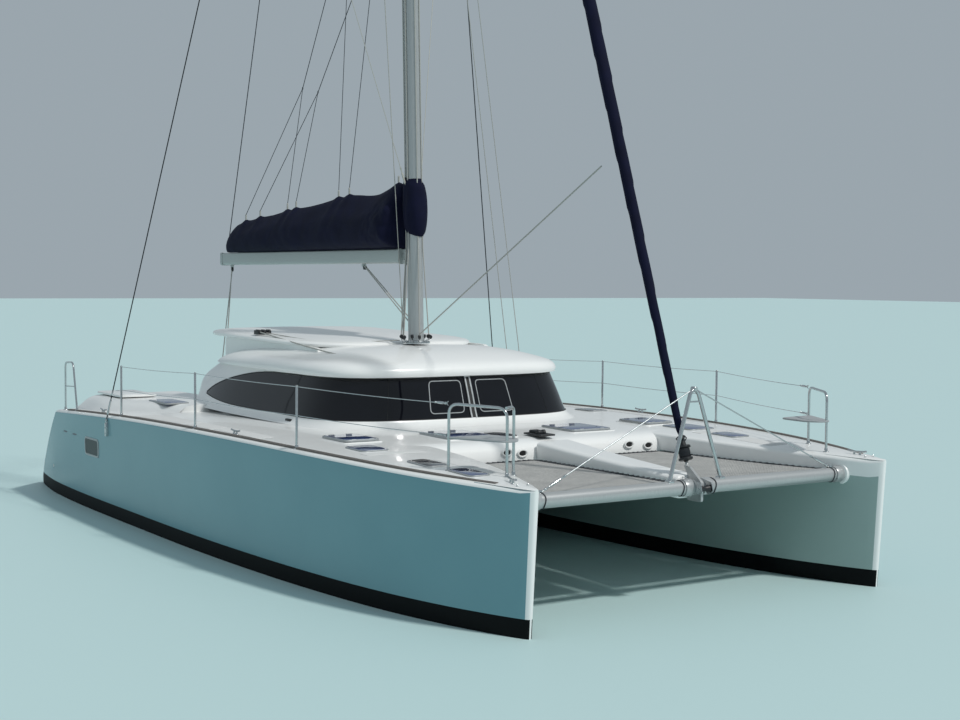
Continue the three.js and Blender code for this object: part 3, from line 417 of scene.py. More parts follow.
steps = [-5.06 + 0.2 * k for k in range(40)]
steps += [2.95, 3.1, 3.25, 3.35, 3.42, 3.48, 3.52, 3.56, 3.59, 3.61, 3.63, 3.64]
bridgedeck = loft("bridgedeck_moulding", [deck_ring(x) for x in steps])
wells = [block("saloon", (-1.88, -1.3, 0.7), (1.45, 1.3, 2)),
         block("cockpit", (-4.8, -1.3, 0.85), (-1.87, 1.3, 2))]
for s in (-1, 1):
    wells.append(block("locker", (2.53, s * 0.9 - 0.28, 1.08), (3.17, s * 0.9 + 0.28, 2)))
carve(bridgedeck, *wells)
fit(bridgedeck, "boat", gelcoat, "gelcoat", "bridgedeck", "foredeck", "cockpit_well", angle=35)


# Coachroof: one curved shell that flares out onto the deck, stands up as the window wall, and turns
# over a small eyebrow into a crowned top.
ROOF_LEVELS = (  # height, then how far the plan reaches forward, sideways and aft of its middle
    (1.380, 2.000, 2.170, 4.260),
    (1.475, 1.880, 2.090, 4.240),
    (1.545, 1.690, 2.000, 4.220),
    (1.605, 1.605, 1.955, 4.200),
    (1.900, 1.495, 1.845, 4.150),
    (2.145, 1.400, 1.755, 3.600),
)
ROOF_TOP = (
    (2.152, 1.462, 1.815, 3.640),
    (2.215, 1.470, 1.822, 3.430),
    (2.300, 1.395, 1.745, 3.050),
    (2.390, 1.100, 1.450, 2.520),
    (2.440, 0.850, 1.200, 1.690),
    (2.480, 0.480, 0.820, 0.950),
    (2.496, 0.060, 0.060, 0.060),
)
ROOF_X = 0.3
ROOF_POWER = 3.8
ROOF_T = 0.05


def plan_point(angle, reach, offset, z):
    """A point of the rounded plan, with the angle counted from the bow and starboard negative."""
    forward, side, aft = reach
    c, s = math.cos(angle), math.sin(angle)
    x = math.copysign(abs(c) ** (2 / ROOF_POWER), c) * ((forward if c > 0 else aft) + offset)
    return Vector((ROOF_X + x, math.copysign(abs(s) ** (2 / ROOF_POWER), s) * (side + offset), z))


def roof_reach(z):
    return between(ROOF_LEVELS if z < 2.1485 else ROOF_TOP, z)


def roof_ring(z, offset=0.0, count=128):
    reach = roof_reach(z)
    offset = offset if reach[0] > 0.1 else 0
    return [plan_point((k + 0.5) * math.tau / count, reach, offset, z) for k in range(count)]


heights = [1.38, 1.41, 1.445, 1.475, 1.51, 1.545, 1.575, 1.605]
heights += [1.605 + 0.045 * k for k in range(1, 12)] + [2.128, 2.145]
tops = [2.152, 2.158, 2.17, 2.19, 2.215, 2.24, 2.27, 2.30, 2.33, 2.36, 2.39, 2.415, 2.44, 2.46, 2.48]
tops += [2.49, 2.496]
roof = loft("coachroof_shell", [roof_ring(z) for z in heights + tops])
shell = [roof_ring(z, -ROOF_T) for z in heights[:-1]]
shell += [[Vector((p.x, p.y, p.z - ROOF_T)) for p in roof_ring(z, -ROOF_T)] for z in tops[4:]]
inside = loft("inside", shell)
inside_low = block("inside_low", (-4, -2.6, 1.0), (2.6, 2.6, 1.52))


def window_low(x):
    return 1.62 + 0.08 * min(1, max(0, (-1 - x) / 1.5)) ** 2


def window_high(x):
    return 2.135 - 0.42 * min(1, max(0, (ROOF_X - x) / 2.8)) ** 3


def glass_band(name, angles, inner, outer, margin, rows=10):
    """A curved band in the window wall, between two depths and over a list of plan angles."""
    sections = []
    for angle in angles:
        x = plan_point(angle, roof_reach(1.8), 0, 0).x
        low = window_low(x) + margin
        high = max(window_high(x) - margin, low + 0.012)
        zs = [mix(low, high, k / rows) for k in range(rows + 1)]
        ring = [(z, outer) for z in zs] + [(z, inner) for z in reversed(zs)]
        sections.append([plan_point(angle, roof_reach(z), depth, z) for z, depth in ring])
    return loft(name, sections)


def front_angle(y):
    return math.asin((y / 1.87) ** (ROOF_POWER / 2))


SEAM_Y = 1.18
SIDE_TO = 2.04
MULLION_HALF = 0.048
front_angles = [front_angle(mix(MULLION_HALF, SEAM_Y, k / 16)) for k in range(17)]
side_angles = [mix(front_angle(SEAM_Y), SIDE_TO, k / 48) for k in range(49)]
window_angles = front_angles + side_angles[1:]
openings = [glass_band("opening", [s * a for a in window_angles], -0.16, 0.08, 0) for s in (-1, 1)]
aft_opening = block("aft_opening", (-5.5, -1.3, 1), (-1.88, 1.3, 3))
carve(roof, inside, inside_low, aft_opening, *openings)
fit(roof, "boat", gelcoat, "gelcoat", "coachroof", angle=35)


# Windows: dark tinted acrylic bonded flush into the wall on black sealant, with a twin light strip
# over the centre pillar and two opening ports in the front panes.
tinted, tinted_shader = new_material("tinted_window_acrylic", "0a0b10", 0.05, IOR=1.49,
                                     Transmission_Weight=0.2, Specular_IOR_Level=0.4)
place = add_node(tinted, "ShaderNodeTexCoord").outputs["Object"]
haze = add_node(tinted, "ShaderNodeTexNoise", {"Vector": place, "Scale": 2.5, "Detail": 4.0}).outputs["Fac"]
smear = add_node(tinted, "ShaderNodeMapRange", {"Value": haze, "To Min": 0.02, "To Max": 0.09}).outputs[0]
tinted.node_tree.links.new(smear, tinted_shader.inputs["Roughness"])
shade = add_node(tinted, "ShaderNodeMix", {"Factor": haze, "A": linear("08090e"), "B": linear("12141c")},
                 data_type="RGBA").outputs["Result"]
tinted.node_tree.links.new(shade, tinted_shader.inputs["Base Color"])


def grained(name, dark, light, scale, roughness, depth=0.0, stretch=(1, 1, 1), **settings):
    """A finish that wanders between two tones, with a relief of a given depth in metres."""
    material, shader = new_material(name, light, roughness, **settings)
    place = add_node(material, "ShaderNodeTexCoord").outputs["Object"]
    if stretch != (1, 1, 1):
        place = add_node(material, "ShaderNodeMapping",
                         {"Vector": place, "Scale": stretch}).outputs["Vector"]
    noise = add_node(material, "ShaderNodeTexNoise", {"Vector": place, "Scale": scale,
                                                      "Detail": 5.0}).outputs["Fac"]
    tone = add_node(material, "ShaderNodeMix", {"Factor": noise, "A": linear(dark), "B": linear(light)},
                    data_type="RGBA").outputs["Result"]
    material.node_tree.links.new(tone, shader.inputs["Base Color"])
    limits = {"Value": noise, "To Min": roughness * 0.75, "To Max": roughness * 1.25}
    uneven = add_node(material, "ShaderNodeMapRange", limits).outputs[0]
    material.node_tree.links.new(uneven, shader.inputs["Roughness"])
    if depth:
        bump = add_node(material, "ShaderNodeBump", {"Height": noise, "Strength": 0.5, "Distance": depth})
        material.node_tree.links.new(bump.outputs["Normal"], shader.inputs["Normal"])
    return material


sealant_and_hole_shade = grained("black_sealant_and_hole_shade", "0c0d0e", "17191a", 90, 0.6, 0.001)


def sweep(name, path, profile, closed=False, normal=None, sides=12):
    """A bar along a path: a round one of a given radius, or one with a profile across and up."""
    path = [Vector(p) for p in path]
    if not isinstance(profile, (list, tuple)):
        angles = [math.tau * k / sides for k in range(sides)]
        profile = [(profile * math.cos(a), profile * math.sin(a)) for a in angles]
    if closed:
        path = path + path[:2]
    across = (path[1] - path[0]).orthogonal().normalized()
    sections = []
    for i in range(1 if closed else 0, len(path)):
        after = path[2] if closed and i == len(path) - 1 else path[min(i + 1, len(path) - 1)]
        ahead = (after - path[max(i - 1, 0)]).normalized()
        if normal:
            across = ahead.cross(Vector(normal)).normalized()
        across = (across - ahead * across.dot(ahead)).normalized()
        up = across.cross(ahead)
        sections.append([path[i] + across * a + up * b for a, b in profile])
    return loft(name, sections, ends=not closed)


def join(name, *pieces):
    """Makes one object of several."""
    deselect()
    for piece in pieces:
        piece.select_set(True)
    bpy.context.view_layer.objects.active = pieces[0]
    bpy.ops.object.join()
    pieces[0].name = name
    return pieces[0]


for name, s in SIDES:
    front = glass_band(f"front_pane_{name}", [s * a for a in front_angles], -0.016, -0.004, 0.003)
    fit(front, "boat", tinted, "glass", f"front_window_{name}", angle=25)
    seam = 0.004
    side = glass_band(f"side_pane_{name}", [s * (a + seam * (i == 0)) for i, a in enumerate(side_angles)],
                      -0.016, -0.004, 0.003)
    fit(side, "boat", tinted, "glass", f"side_window_{name}", angle=25)
    seals = []
    angles = [s * a for a in window_angles]
    for edge in (window_low, window_high):
        path = []
        for angle in angles:
            x = plan_point(angle, roof_reach(1.8), 0, 0).x
            z = max(edge(x), window_low(x) + 0.006)
            path.append(plan_point(angle, roof_reach(z), -0.002, z))
        seals.append(sweep("seal", path, 0.006, sides=8))
    angle = s * (side_angles[0] + seam / 2)
    path = [plan_point(angle, roof_reach(z), -0.007, z) for z in (1.62, 1.75, 1.9, 2.0, 2.13)]
    seals.append(sweep("seal", path, [(-0.005, -0.006), (0.005, -0.006), (0.005, 0.003), (-0.005, 0.003)],
                       normal=(1, s, 0)))
    fit(join(f"window_seals_{name}", *seals), "boat", sealant_and_hole_shade, "glass")


def front_point(y, z, offset=0.0):
    """A point on the front window wall."""
    return plan_point(math.copysign(front_angle(abs(y)), y), roof_reach(z), offset, z)


grey_strip = grained("satin_window_strip", "94999b", "bcc0c1", 30, 0.4, Metallic=0.4)
pillar_heights = (1.625, 1.7, 1.8, 1.9, 2.0, 2.1, 2.13)
cover_strip = sweep("pillar_cover", [front_point(0.0001, z, 0.001) for z in pillar_heights],
                    [(-0.052, -0.004), (0.052, -0.004), (0.052, 0.004), (-0.052, 0.004)],
                    normal=(1, 0, 0.3))
fit(cover_strip, "boat", sealant_and_hole_shade, "glass")
strips = []
for y in (-0.034, 0.034):
    flat = [(-0.013, -0.004), (0.013, -0.004), (0.011, 0.010), (0.005, 0.013), (-0.005, 0.013),
            (-0.011, 0.010)]
    strips.append(sweep("strip", [front_point(y, z, 0.003) for z in pillar_heights], flat,
                        normal=(1, 0, 0.3)))
fit(join("centre_pillar_strips", *strips), "boat", grey_strip, "alloy")
ports = []
for s in (-1, 1):
    corners = [(s * 0.12, 1.69), (s * 0.61, 1.69), (s * 0.61, 2.09), (s * 0.12, 2.09)]
    flat = rounded([(0, y, z) for y, z in corners], 0.06, closed=True)
    path = [front_point(p.y, p.z, -0.001) for p in flat]
    ports.append(sweep("port", path, [(-0.007, -0.003), (0.007, -0.003), (0.005, 0.004), (-0.005, 0.004)],
                       closed=True, normal=(1, 0, 0.3)))
fit(join("opening_port_frames", *ports), "boat", grey_strip, "alloy")


# Hardtop: a thin crowned wing over the forward cockpit, on two side walls that grow out of the coachroof.
HARDTOP_OUTLINE = ((0.23, -0.90), (0.23, 0.90), (-0.15, 1.28), (-0.70, 1.43), (-3.15, 1.43), (-3.40, 1.25),
                   (-3.60, 0.50),
                   (-3.60, -0.50), (-3.40, -1.25), (-3.15, -1.43), (-0.70, -1.43), (-0.15, -1.28))
HARDTOP_RINGS = ((2.445, 0.06), (2.447, 0.035), (2.456, 0.012), (2.470, 0.0), (2.488, 0.0), (2.504, 0.012),
                 (2.517, 0.035),
                 (2.528, 0.08), (2.543, 0.20), (2.556, 0.40), (2.568, 0.65), (2.576, 0.90), (2.582, 1.15),
                 (2.585, 1.35))


def hardtop_ring(z, inset):
    middle = -1.685
    ring = []
    for p in rounded([(x, y, 0) for x, y in HARDTOP_OUTLINE], 0.45, closed=True, steps=5):
        x = middle + (p.x - middle) * (1 - inset / 1.915)
        y = p.y * (1 - inset / 1.43)
        ring.append(Vector((x, y, z + 0.08 * (0.23 - x) / 3.83)))
    return ring


wing = loft("hardtop_wing", [hardtop_ring(z, inset) for z, inset in HARDTOP_RINGS])
walls = []
for s in (-1, 1):
    outline = [(-2.8, 0, 1.46), (0.2, 0, 1.46), (0.2, 0, 2.46), (-2.8, 0, 2.53)]
    low, high = sorted((s * 1.3, s * 1.355))
    shape = rounded(outline, 0.12, closed=True)
    sections = [[Vector((p.x, y, p.z)) for p in shape] for y in (low, low + 0.008, high - 0.008, high)]
    walls.append(loft("wall", sections))
hardtop = join("hardtop_and_walls", wing, *walls)
fit(hardtop, "boat", gelcoat, "gelcoat", "hardtop", angle=30)


def finish_node(node, material):
    """Gives a solid that stays the procedural finish of its real surface."""
    kept = bpy.data.objects[node]
    kept.data.materials.clear()
    kept.data.materials.append(material)


finish_node("saloon_bulkhead", gelcoat)
finish_node("saloon_door", tinted)
finish_node("helm_console", gelcoat)


# Mast: an oval aluminium extrusion, silver anodised, with a sail track up its aft face. It stands on a
# collar on the coachroof, has one pair of swept spreaders, and tapers above the hounds.
MAST_FOOT = Vector((0.44, 0, 2.506))
MAST_TILT = Matrix.Rotation(-0.04, 4, "Y")
HOUNDS = 16.08
SPREADER_TIP = (-1.255, 1.465, 8.66)


def mast_at(x, y, z):
    return MAST_FOOT + MAST_TILT @ Vector((x, y, z))


def turned(name, foot, axis, rows, sides=24):
    """A turned form: rows give the distance along its axis and the radius there."""
    axis = Vector(axis).normalized()
    across = axis.orthogonal().normalized()
    up = axis.cross(across)
    angles = [math.tau * k / sides for k in range(sides)]
    spokes = [across * math.cos(a) + up * math.sin(a) for a in angles]
    return loft(name, [[Vector(foot) + axis * h + spoke * r for spoke in spokes] for h, r in rows])


def soften(piece, width, segments=3):
    """Rounds the sharp edges of a block."""
    apply(piece, "BEVEL", width=width, segments=segments, limit_method="ANGLE",
          angle_limit=math.radians(30))
    return piece


anodised = grained("silver_anodised_aluminium", "a3a7a9", "c9cac9", 3, 0.32, stretch=(60, 60, 1),
                   Metallic=0.45)
stainless = grained("polished_stainless_tube", "b3b8ba", "cfd2d3", 25, 0.2, Metallic=0.95)
black_nylon = grained("black_nylon_blocks", "15171a", "26292c", 40, 0.45, 0.0005)
grey_rope = grained("braided_polyester_rope", "8e8f8c", "c2c1bb", 160, 0.85, 0.002)
dark_rope = grained("dark_braided_rope", "2a2c31", "4a4d53", 160, 0.85, 0.002)

up_mast = mast_at(0, 0, 1) - mast_at(0, 0, 0)
rings = []
for z, grow in ((0.03, 1), (0.5, 1), (2, 1), (5, 1), (8, 1), (12, 1), (HOUNDS, 1), (16.9, 0.91),
                (17.88, 0.78)):
    ring = []
    for k in range(40):
        a = math.tau * (k + 0.5) / 40
        ring.append(mast_at(0.14 * grow * math.cos(a), 0.09 * grow * math.sin(a), z))
    rings.append(ring)
parts = [loft("mast_tube", rings)]
track = [(-0.016, 0), (0.016, 0), (0.016, 0.006), (0.009, 0.007), (0.009, 0.014), (-0.009, 0.014),
         (-0.009, 0.007), (-0.016, 0.006)]
parts.append(sweep("sail_track", [mast_at(-0.137, 0, z) for z in (1.7, 6, 11, HOUNDS)], track,
                   normal=(-1, 0, 0)))
for s in (-1, 1):
    rings = []
    for t, chord, thick in ((0, 0.055, 0.034), (0.08, 0.05, 0.026), (0.5, 0.043, 0.022),
                            (0.93, 0.036, 0.019), (0.985, 0.03, 0.016), (1, 0.02, 0.01)):
        middle = mast_at(SPREADER_TIP[0] * t, s * (0.06 + (SPREADER_TIP[1] - 0.06) * t), 8.6 + 0.06 * t)
        angles = [math.tau * k / 20 for k in range(20)]
        across = Vector((chord, s * 0.6 * chord, 0))
        rings.append([middle + across * math.cos(a) + Vector((0, 0, thick * math.sin(a))) for a in angles])
    parts.append(loft("spreader", rings))
    parts.append(turned("spreader_root", mast_at(-0.02, s * 0.062, 8.6), (-0.3, s, 0),
                        ((0, 0.07), (0.03, 0.065), (0.05, 0.05))))
    tang = block("shroud_tang", (-0.03, 0, -0.06), (0.03, 0.047, 0.04))
    for vertex in tang.data.vertices:
        vertex.co = mast_at(vertex.co.x, s * (0.088 + vertex.co.y), HOUNDS + vertex.co.z)
    parts.append(soften(tang, 0.008))
head = block("masthead_crane", (-0.315, -0.038, -0.05), (0.255, 0.038, 0.028))
for vertex in head.data.vertices:
    low = vertex.co.z < 0 and abs(vertex.co.x) > 0.2
    vertex.co = mast_at(vertex.co.x, vertex.co.y, 17.9 + vertex.co.z + (0.045 if low else 0))
parts.append(soften(head, 0.012))
stem_tang = block("forestay_tang", (0.05, -0.01, -0.06), (0.205, 0.01, 0.02))
for vertex in stem_tang.data.vertices:
    vertex.co = mast_at(vertex.co.x, vertex.co.y, HOUNDS + vertex.co.z - (0.04 if vertex.co.x < 0.1 else 0))
parts.append(soften(stem_tang, 0.004, 2))
for z in (-0.084, 0.084):
    lug = block("gooseneck_lug", (0.14, -0.037, 3.69 + z - 0.012), (0.27, 0.037, 3.69 + z + 0.012))
    parts.append(soften(lug, 0.006, 2))
parts.append(turned("gooseneck_pin", (0.175, 0, 3.57), (0, 0, 1),
                    ((0, 0.014), (0.004, 0.018), (0.22, 0.018), (0.226, 0.014))))
fit(join("mast_and_spreaders", *parts), "boat", anodised, "alloy", "mast", angle=30)

collar_rows = ((0.001, 0.19), (0.016, 0.19), (0.022, 0.184), (0.026, 0.165), (0.04, 0.16), (0.044, 0.153))
parts = [turned("mast_collar", mast_at(0, 0, 0), up_mast, collar_rows, sides=48)]
for k in range(10):
    a = math.tau * (k + 0.5) / 10
    parts.append(turned("bolt", mast_at(0.174 * math.cos(a), 0.174 * math.sin(a), 0.02), up_mast,
                        ((0, 0.008), (0.010, 0.008), (0.012, 0.006)), sides=6))
    loop = [mast_at(r * math.cos(a + d), r * math.sin(a + d), z) for r, d, z in
            ((0.182, -0.1, 0.02), (0.190, -0.1, 0.045), (0.193, 0, 0.058), (0.190, 0.1, 0.045),
             (0.182, 0.1, 0.02))]
    parts.append(sweep("pad_eye", rounded(loop, 0.012), 0.0035, sides=8))
fit(join("mast_collar_and_eyes", *parts), "boat", stainless, "steel")


def turning_block(name, middle, axis, radius=0.032):
    """Two cheeks and a sheave."""
    rows = [(-0.017, 0.55), (-0.0155, 0.85), (-0.013, 1), (-0.008, 1), (-0.007, 0.72), (0.007, 0.72),
            (0.008, 1), (0.013, 1), (0.0155, 0.85), (0.017, 0.55)]
    return turned(name, middle, axis, [(h, r * radius) for h, r in rows], sides=20)


parts = []
halyards = []
for a, tilt in ((-2.6, 0.09), (-2.1, 0.10), (-1.5, 0.09), (-0.8, 0.10), (-0.3, 0.09), (0.5, 0.1),
                (1.2, 0.09), (2.0, 0.1), (2.6, 0.09)):
    middle = mast_at(0.196 * math.cos(a), 0.196 * math.sin(a), tilt)
    parts.append(turning_block("foot_block", middle, (-math.sin(a), math.cos(a), 0.1), 0.027))
    parts.append(sweep("strop", [middle, mast_at(0.19 * math.cos(a), 0.19 * math.sin(a), 0.05)], 0.006,
                       sides=8))
for a, z in ((-2.6, 15.6), (-2.1, 15.6), (-1.5, 15.9), (-0.3, 15.9), (0.5, 15.8), (2.1, 15.5)):
    low = mast_at(0.2 * math.cos(a), 0.2 * math.sin(a), 0.11)
    halyards.append(sweep("halyard", [low, mast_at(0.148 * math.cos(a), 0.102 * math.sin(a), 1.3),
                                      mast_at(0.145 * math.cos(a), 0.1 * math.sin(a), z)], 0.008, sides=8))
fit(join("mast_foot_blocks", *parts), "boat", black_nylon, "wire")


# Boom: a deep aluminium extrusion with rounded edges and a cast end cap with sheaves, hinged on the
# gooseneck behind the mast.
boom_alloy = grained("grey_anodised_boom", "a2a9a8", "bdc2c0", 4, 0.36, stretch=(1, 50, 50), Metallic=0.3)
GOOSENECK = Vector((0.175, 0, 3.69))
COVER_FOOT = 3.795


def boom_ring(x, grow=0.0):
    h, w = 0.1 + grow, 0.075 + grow
    ring = [(x, -w, -h), (x, w, -h), (x, w, h), (x, w * 0.45, h), (x, w * 0.2, h - 0.012),
            (x, -w * 0.2, h - 0.012), (x, -w * 0.45, h), (x, -w, h)]
    return [GOOSENECK + p for p in rounded(ring, 0.045, closed=True)]


parts = [loft("boom_spar", [boom_ring(x) for x in (-0.09, -1, -2, -3, -4, -5, -6.03)])]
caps = ((-6.02, 0.002), (-6.024, 0.008), (-6.09, 0.008), (-6.10, 0.004), (-6.108, -0.006), (-6.11, -0.02))
parts.append(loft("boom_end_cap", [boom_ring(x, grow) for x, grow in caps]))
caps = ((-0.094, -0.02), (-0.092, 0.004), (-0.088, 0.006), (-0.13, 0.006), (-0.135, 0.001))
parts.append(loft("boom_front_cap", [boom_ring(x, grow) for x, grow in reversed(caps)]))
parts.append(soften(block("toggle", (0.075, -0.016, 3.64), (0.175, 0.016, 3.74)), 0.005, 2))
parts.append(turned("toggle_eye", (0.175, 0, 3.69 - 0.07), (0, 0, 1),
                    ((0, 0.024), (0.004, 0.03), (0.136, 0.03), (0.14, 0.024))))
for x in (-1.2, -5.78):
    parts.append(soften(block("lug", (0.175 + x - 0.05, -0.012, 3.55), (0.175 + x + 0.05, 0.012, 3.6)),
                        0.005, 2))
fit(join("boom_spar_and_caps", *parts), "boom", boom_alloy, "boom_paint", "boom", angle=30)


# Stowed mainsail in its cover: a long bag of acrylic canvas, navy and nearly black in its folds, full
# at the mast and thin at the end, hung up by the lazy jacks, with a hem along each side of the boom.
def canvas(name, dark, light):
    """Woven acrylic canvas. Its thread of half a millimetre is drawn at four, so that it shows."""
    material, shader = new_material(name, light, 0.9, Specular_IOR_Level=0.25)
    place = add_node(material, "ShaderNodeTexCoord").outputs["Object"]
    noise = add_node(material, "ShaderNodeTexNoise", {"Vector": place, "Scale": 5.0,
                                                      "Detail": 6.0}).outputs["Fac"]
    tone = add_node(material, "ShaderNodeMix", {"Factor": noise, "A": linear(dark), "B": linear(light)},
                    data_type="RGBA").outputs["Result"]
    material.node_tree.links.new(tone, shader.inputs["Base Color"])
    warp = add_node(material, "ShaderNodeTexWave", {"Vector": place, "Scale": 75.0},
                    bands_direction="X").outputs["Fac"]
    weft = add_node(material, "ShaderNodeTexWave", {"Vector": place, "Scale": 75.0},
                    bands_direction="Z").outputs["Fac"]
    weave = add_node(material, "ShaderNodeMath", {0: warp, 1: weft}, operation="MULTIPLY").outputs[0]
    fine = add_node(material, "ShaderNodeBump", {"Height": weave, "Strength": 0.3,
                                                 "Distance": 0.001}).outputs["Normal"]
    links = {"Height": noise, "Normal": fine, "Strength": 0.3, "Distance": 0.015}
    bump = add_node(material, "ShaderNodeBump", links).outputs["Normal"]
    material.node_tree.links.new(bump, shader.inputs["Normal"])
    return material


navy_canvas = canvas("navy_acrylic_canvas", "03051a", "0b1132")
COVER_ROWS = ((0.155, 0.18, 0.84), (0.12, 0.27, 0.88), (0.055, 0.335, 0.895), (-0.15, 0.35, 0.88),
              (-0.625, 0.325, 0.79),
              (-1.325, 0.295, 0.80), (-2.825, 0.26, 0.69), (-4.325, 0.21, 0.58), (-5.325, 0.16, 0.48),
              (-5.60, 0.115, 0.37), (-5.69, 0.07, 0.27), (-5.72, 0.02, 0.2))
COVER_SIDE = ((0.0, 0.44), (0.06, 0.74), (0.16, 0.93), (0.34, 1.0), (0.55, 0.86), (0.75, 0.55), (0.9, 0.27),
              (1.0, 0.0))
JACK_FEET = (-5.05, -4.50, -3.50, -3.20, -1.80, -1.47, -0.05)


def cover_ridge(x):
    """The height of the ridge, pulled up a little at each lazy jack."""
    near = min(abs(x - foot) for foot in JACK_FEET)
    return between(COVER_ROWS, x)[1] + 0.03 * math.exp(-(near / 0.10) ** 2) - 0.015 * min(1, near / 0.5)


def cover_fold(x, v, s):
    """How far the canvas stands in from its smooth form."""
    slow = noise.noise(Vector((x * 1.1, v * 1.6, s * 4)))
    crease = abs(noise.noise(Vector((x * 2.6 + v * 2.2, v * 2.4 - x * 0.5, s * 9))))
    fine = abs(noise.noise(Vector((x * 7 + v * 3, v * 6, s * 15))))
    crowd = math.exp(-((x - 0.05) / 0.5) ** 2)
    return 0.030 * slow + (0.012 + 0.05 * crowd) * (crease - 0.25) + (0.004 + 0.035 * crowd) * (fine - 0.2)


def cover_point(x, v, s):
    half, ridge = between(COVER_ROWS, x)[0], cover_ridge(x)
    reach = min(1, half / 0.15) * (0.3 + 0.7 * math.sin(math.pi * min(1, v * 1.1 + 0.05)))
    pull = cover_fold(x, v, s) * reach
    y = s * max(0.002, half * between(COVER_SIDE, v)[0] + pull)
    return Vector((x, y if v < 1 else 0, COVER_FOOT + v * ridge + 0.4 * pull * v))


def cover_ring(x):
    heights = [k / 26 for k in range(27)]
    return [cover_point(x, v, 1) for v in heights] + [cover_point(x, v, -1) for v in reversed(heights[:-1])]


cover_places = [0.155 - 0.035 * k for k in range(166)] + [-5.655, -5.68, -5.70, -5.715]
cover = loft("sail_cover_bag", [cover_ring(x) for x in cover_places])
apply(cover, "SUBSURF", levels=1, render_levels=1)
fit(cover, "boom", navy_canvas, "canvas", "sail_cover", angle=60)
collar = []
for z in [1.50 + 0.04 * k for k in range(19)]:
    ring = []
    for k in range(48):
        a = math.tau * k / 48
        full = math.sin(math.pi * min(1, max(0, (z - 1.5) / 0.72))) ** 0.5
        r = 0.014 + (0.035 + 0.04 * max(0, math.cos(a))) * full
        r += 0.014 * noise.noise(Vector((math.cos(a) * 2, math.sin(a) * 2, z * 4))) * full
        ring.append(mast_at((0.14 + r) * math.cos(a), (0.09 + r) * math.sin(a), z - 0.06 * math.cos(a)))
    collar.append(ring)
inner = [[mast_at(0.1475 * math.cos(math.tau * k / 48), 0.0975 * math.sin(math.tau * k / 48), z)
          for k in range(48)] for z in (2.22, 1.50)]
mast_collar = loft("sail_cover_collar", inner[1:] + collar + inner[:1])
fit(mast_collar, "boat", navy_canvas, "canvas", angle=60)
parts = []
for s in (-1, 1):
    hem = []
    for k in range(57):
        x = 0.1 - 0.1 * k
        hem.append(Vector((x, s * (0.44 * between(COVER_ROWS, x)[0] + 0.002), COVER_FOOT + 0.007)))
    parts.append(sweep("hem", hem, 0.007, sides=8))
fit(join("sail_cover_hem", *parts), "boom", navy_canvas, "canvas")
parts = []
for x in JACK_FEET:
    z = COVER_FOOT + cover_ridge(x)
    parts.append(turned("toggle", (x, 0, z - 0.02), (0, 0, 1),
                        ((0, 0.006), (0.01, 0.014), (0.09, 0.014), (0.1, 0.006)), sides=12))
fit(join("lazy_jack_toggles", *parts), "boom", grey_rope, "canvas")


# Running rigging that shows: topping lift, lazy jacks, halyards, boom vang and mainsheet, all braided
# polyester of ten to twelve millimetres, drawn taut.
def taut(name, *points, radius=0.007):
    spans = list(zip(points, points[1:]))
    path = [Vector(p).lerp(Vector(q), t / 6) for p, q in spans for t in range(7)]
    return sweep(name, path, radius, sides=8)


def jack_foot(x):
    return (x, 0, COVER_FOOT + cover_ridge(x) + 0.07)


jacks = [
    taut("topping_lift", mast_at(-0.3, 0, 17.85), (-5.80, 0, 3.81), radius=0.008),
    taut("lazy_jack", (0.03, -0.02, 11.3), (-1.47, 0, 8.75), (-2.98, 0, 6.28), radius=0.006),
    taut("lazy_jack", (0.06, 0.02, 9.05), (-0.68, 0, 8.24), (-2.47, 0, 6.17), radius=0.006),
]
ring_rows = ((0, 0.004), (0.01, 0.011), (0.03, 0.011), (0.04, 0.004))
for node, feet in (((-2.98, 0, 6.28), (-5.05, -3.50)), ((-2.47, 0, 6.17), (-4.50, -3.20)),
                   ((-1.47, 0, 8.75), (-1.80,)), ((-0.68, 0, 8.24), (-1.47,))):
    jacks += [taut("lazy_jack_leg", node, jack_foot(x), radius=0.005) for x in feet]
    jacks.append(turned("ring", Vector(node) - Vector((0, 0, 0.02)), (0, 0, 1), ring_rows, sides=10))
rig = fit(join("topping_lift_and_lazy_jacks", *jacks), None, dark_rope, "wire")
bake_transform(rig)
lines = [
    taut("flag_halyard", mast_at(-0.339, -0.395, 8.58), mast_at(-0.1, -0.14, 0.1), radius=0.006),
    taut("flag_halyard", mast_at(-0.85, 1.02, 8.62), (-1.85, 3.16, 1.53), radius=0.006),
    taut("flag_halyard", mast_at(-1.23, 1.44, 8.64), (-1.50, 3.16, 1.53), radius=0.006),
    taut("headsail_sheet", (4.55, -0.06, 4.66), mast_at(0.2, -0.07, 0.12), radius=0.009),
    taut("vang", mast_at(-0.13, -0.03, 0.3), (-0.98, -0.02, 3.56), radius=0.008),
    taut("vang", mast_at(-0.13, 0.03, 0.3), (-1.02, 0.02, 3.56), radius=0.008),
    sweep("clutch_line", [(-1.62, -1.35, 2.61), (-0.9, -1.37, 2.545), (-0.15, -1.38, 2.475),
                          (0.5, -1.37, 2.42), (0.99, -1.32, 2.375)],
          0.009, sides=8),
    sweep("roof_line", rounded([mast_at(-0.15, -0.17, 0.05), (-0.05, -0.80, 2.515), (-0.35, -1.2, 2.54),
                                (-1.55, -1.28, 2.60)], 0.2),
          0.006, sides=8),
]
fit(join("halyards_and_sheets", *lines, *halyards), "boat", grey_rope, "wire")
falls = []
for a, b in (((-0.02, 0.01), (0.03, -0.05)), ((0.03, -0.02), (-0.02, 0.06))):
    falls.append(taut("mainsheet", (-5.61 + a[0], a[1], 3.50), (-4.93 + b[0], -0.50 + b[1], 1.52),
                      radius=0.009))
mainsheet = fit(join("mainsheet_falls", *falls), None, grey_rope, "wire")
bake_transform(mainsheet)
parts = [turning_block("boom_block", (-5.60, 0, 3.52), (0.2, 1, 0), 0.042)]
parts.append(turning_block("vang_block", (-1.0, 0, 3.54), (0, 1, 0), 0.034))
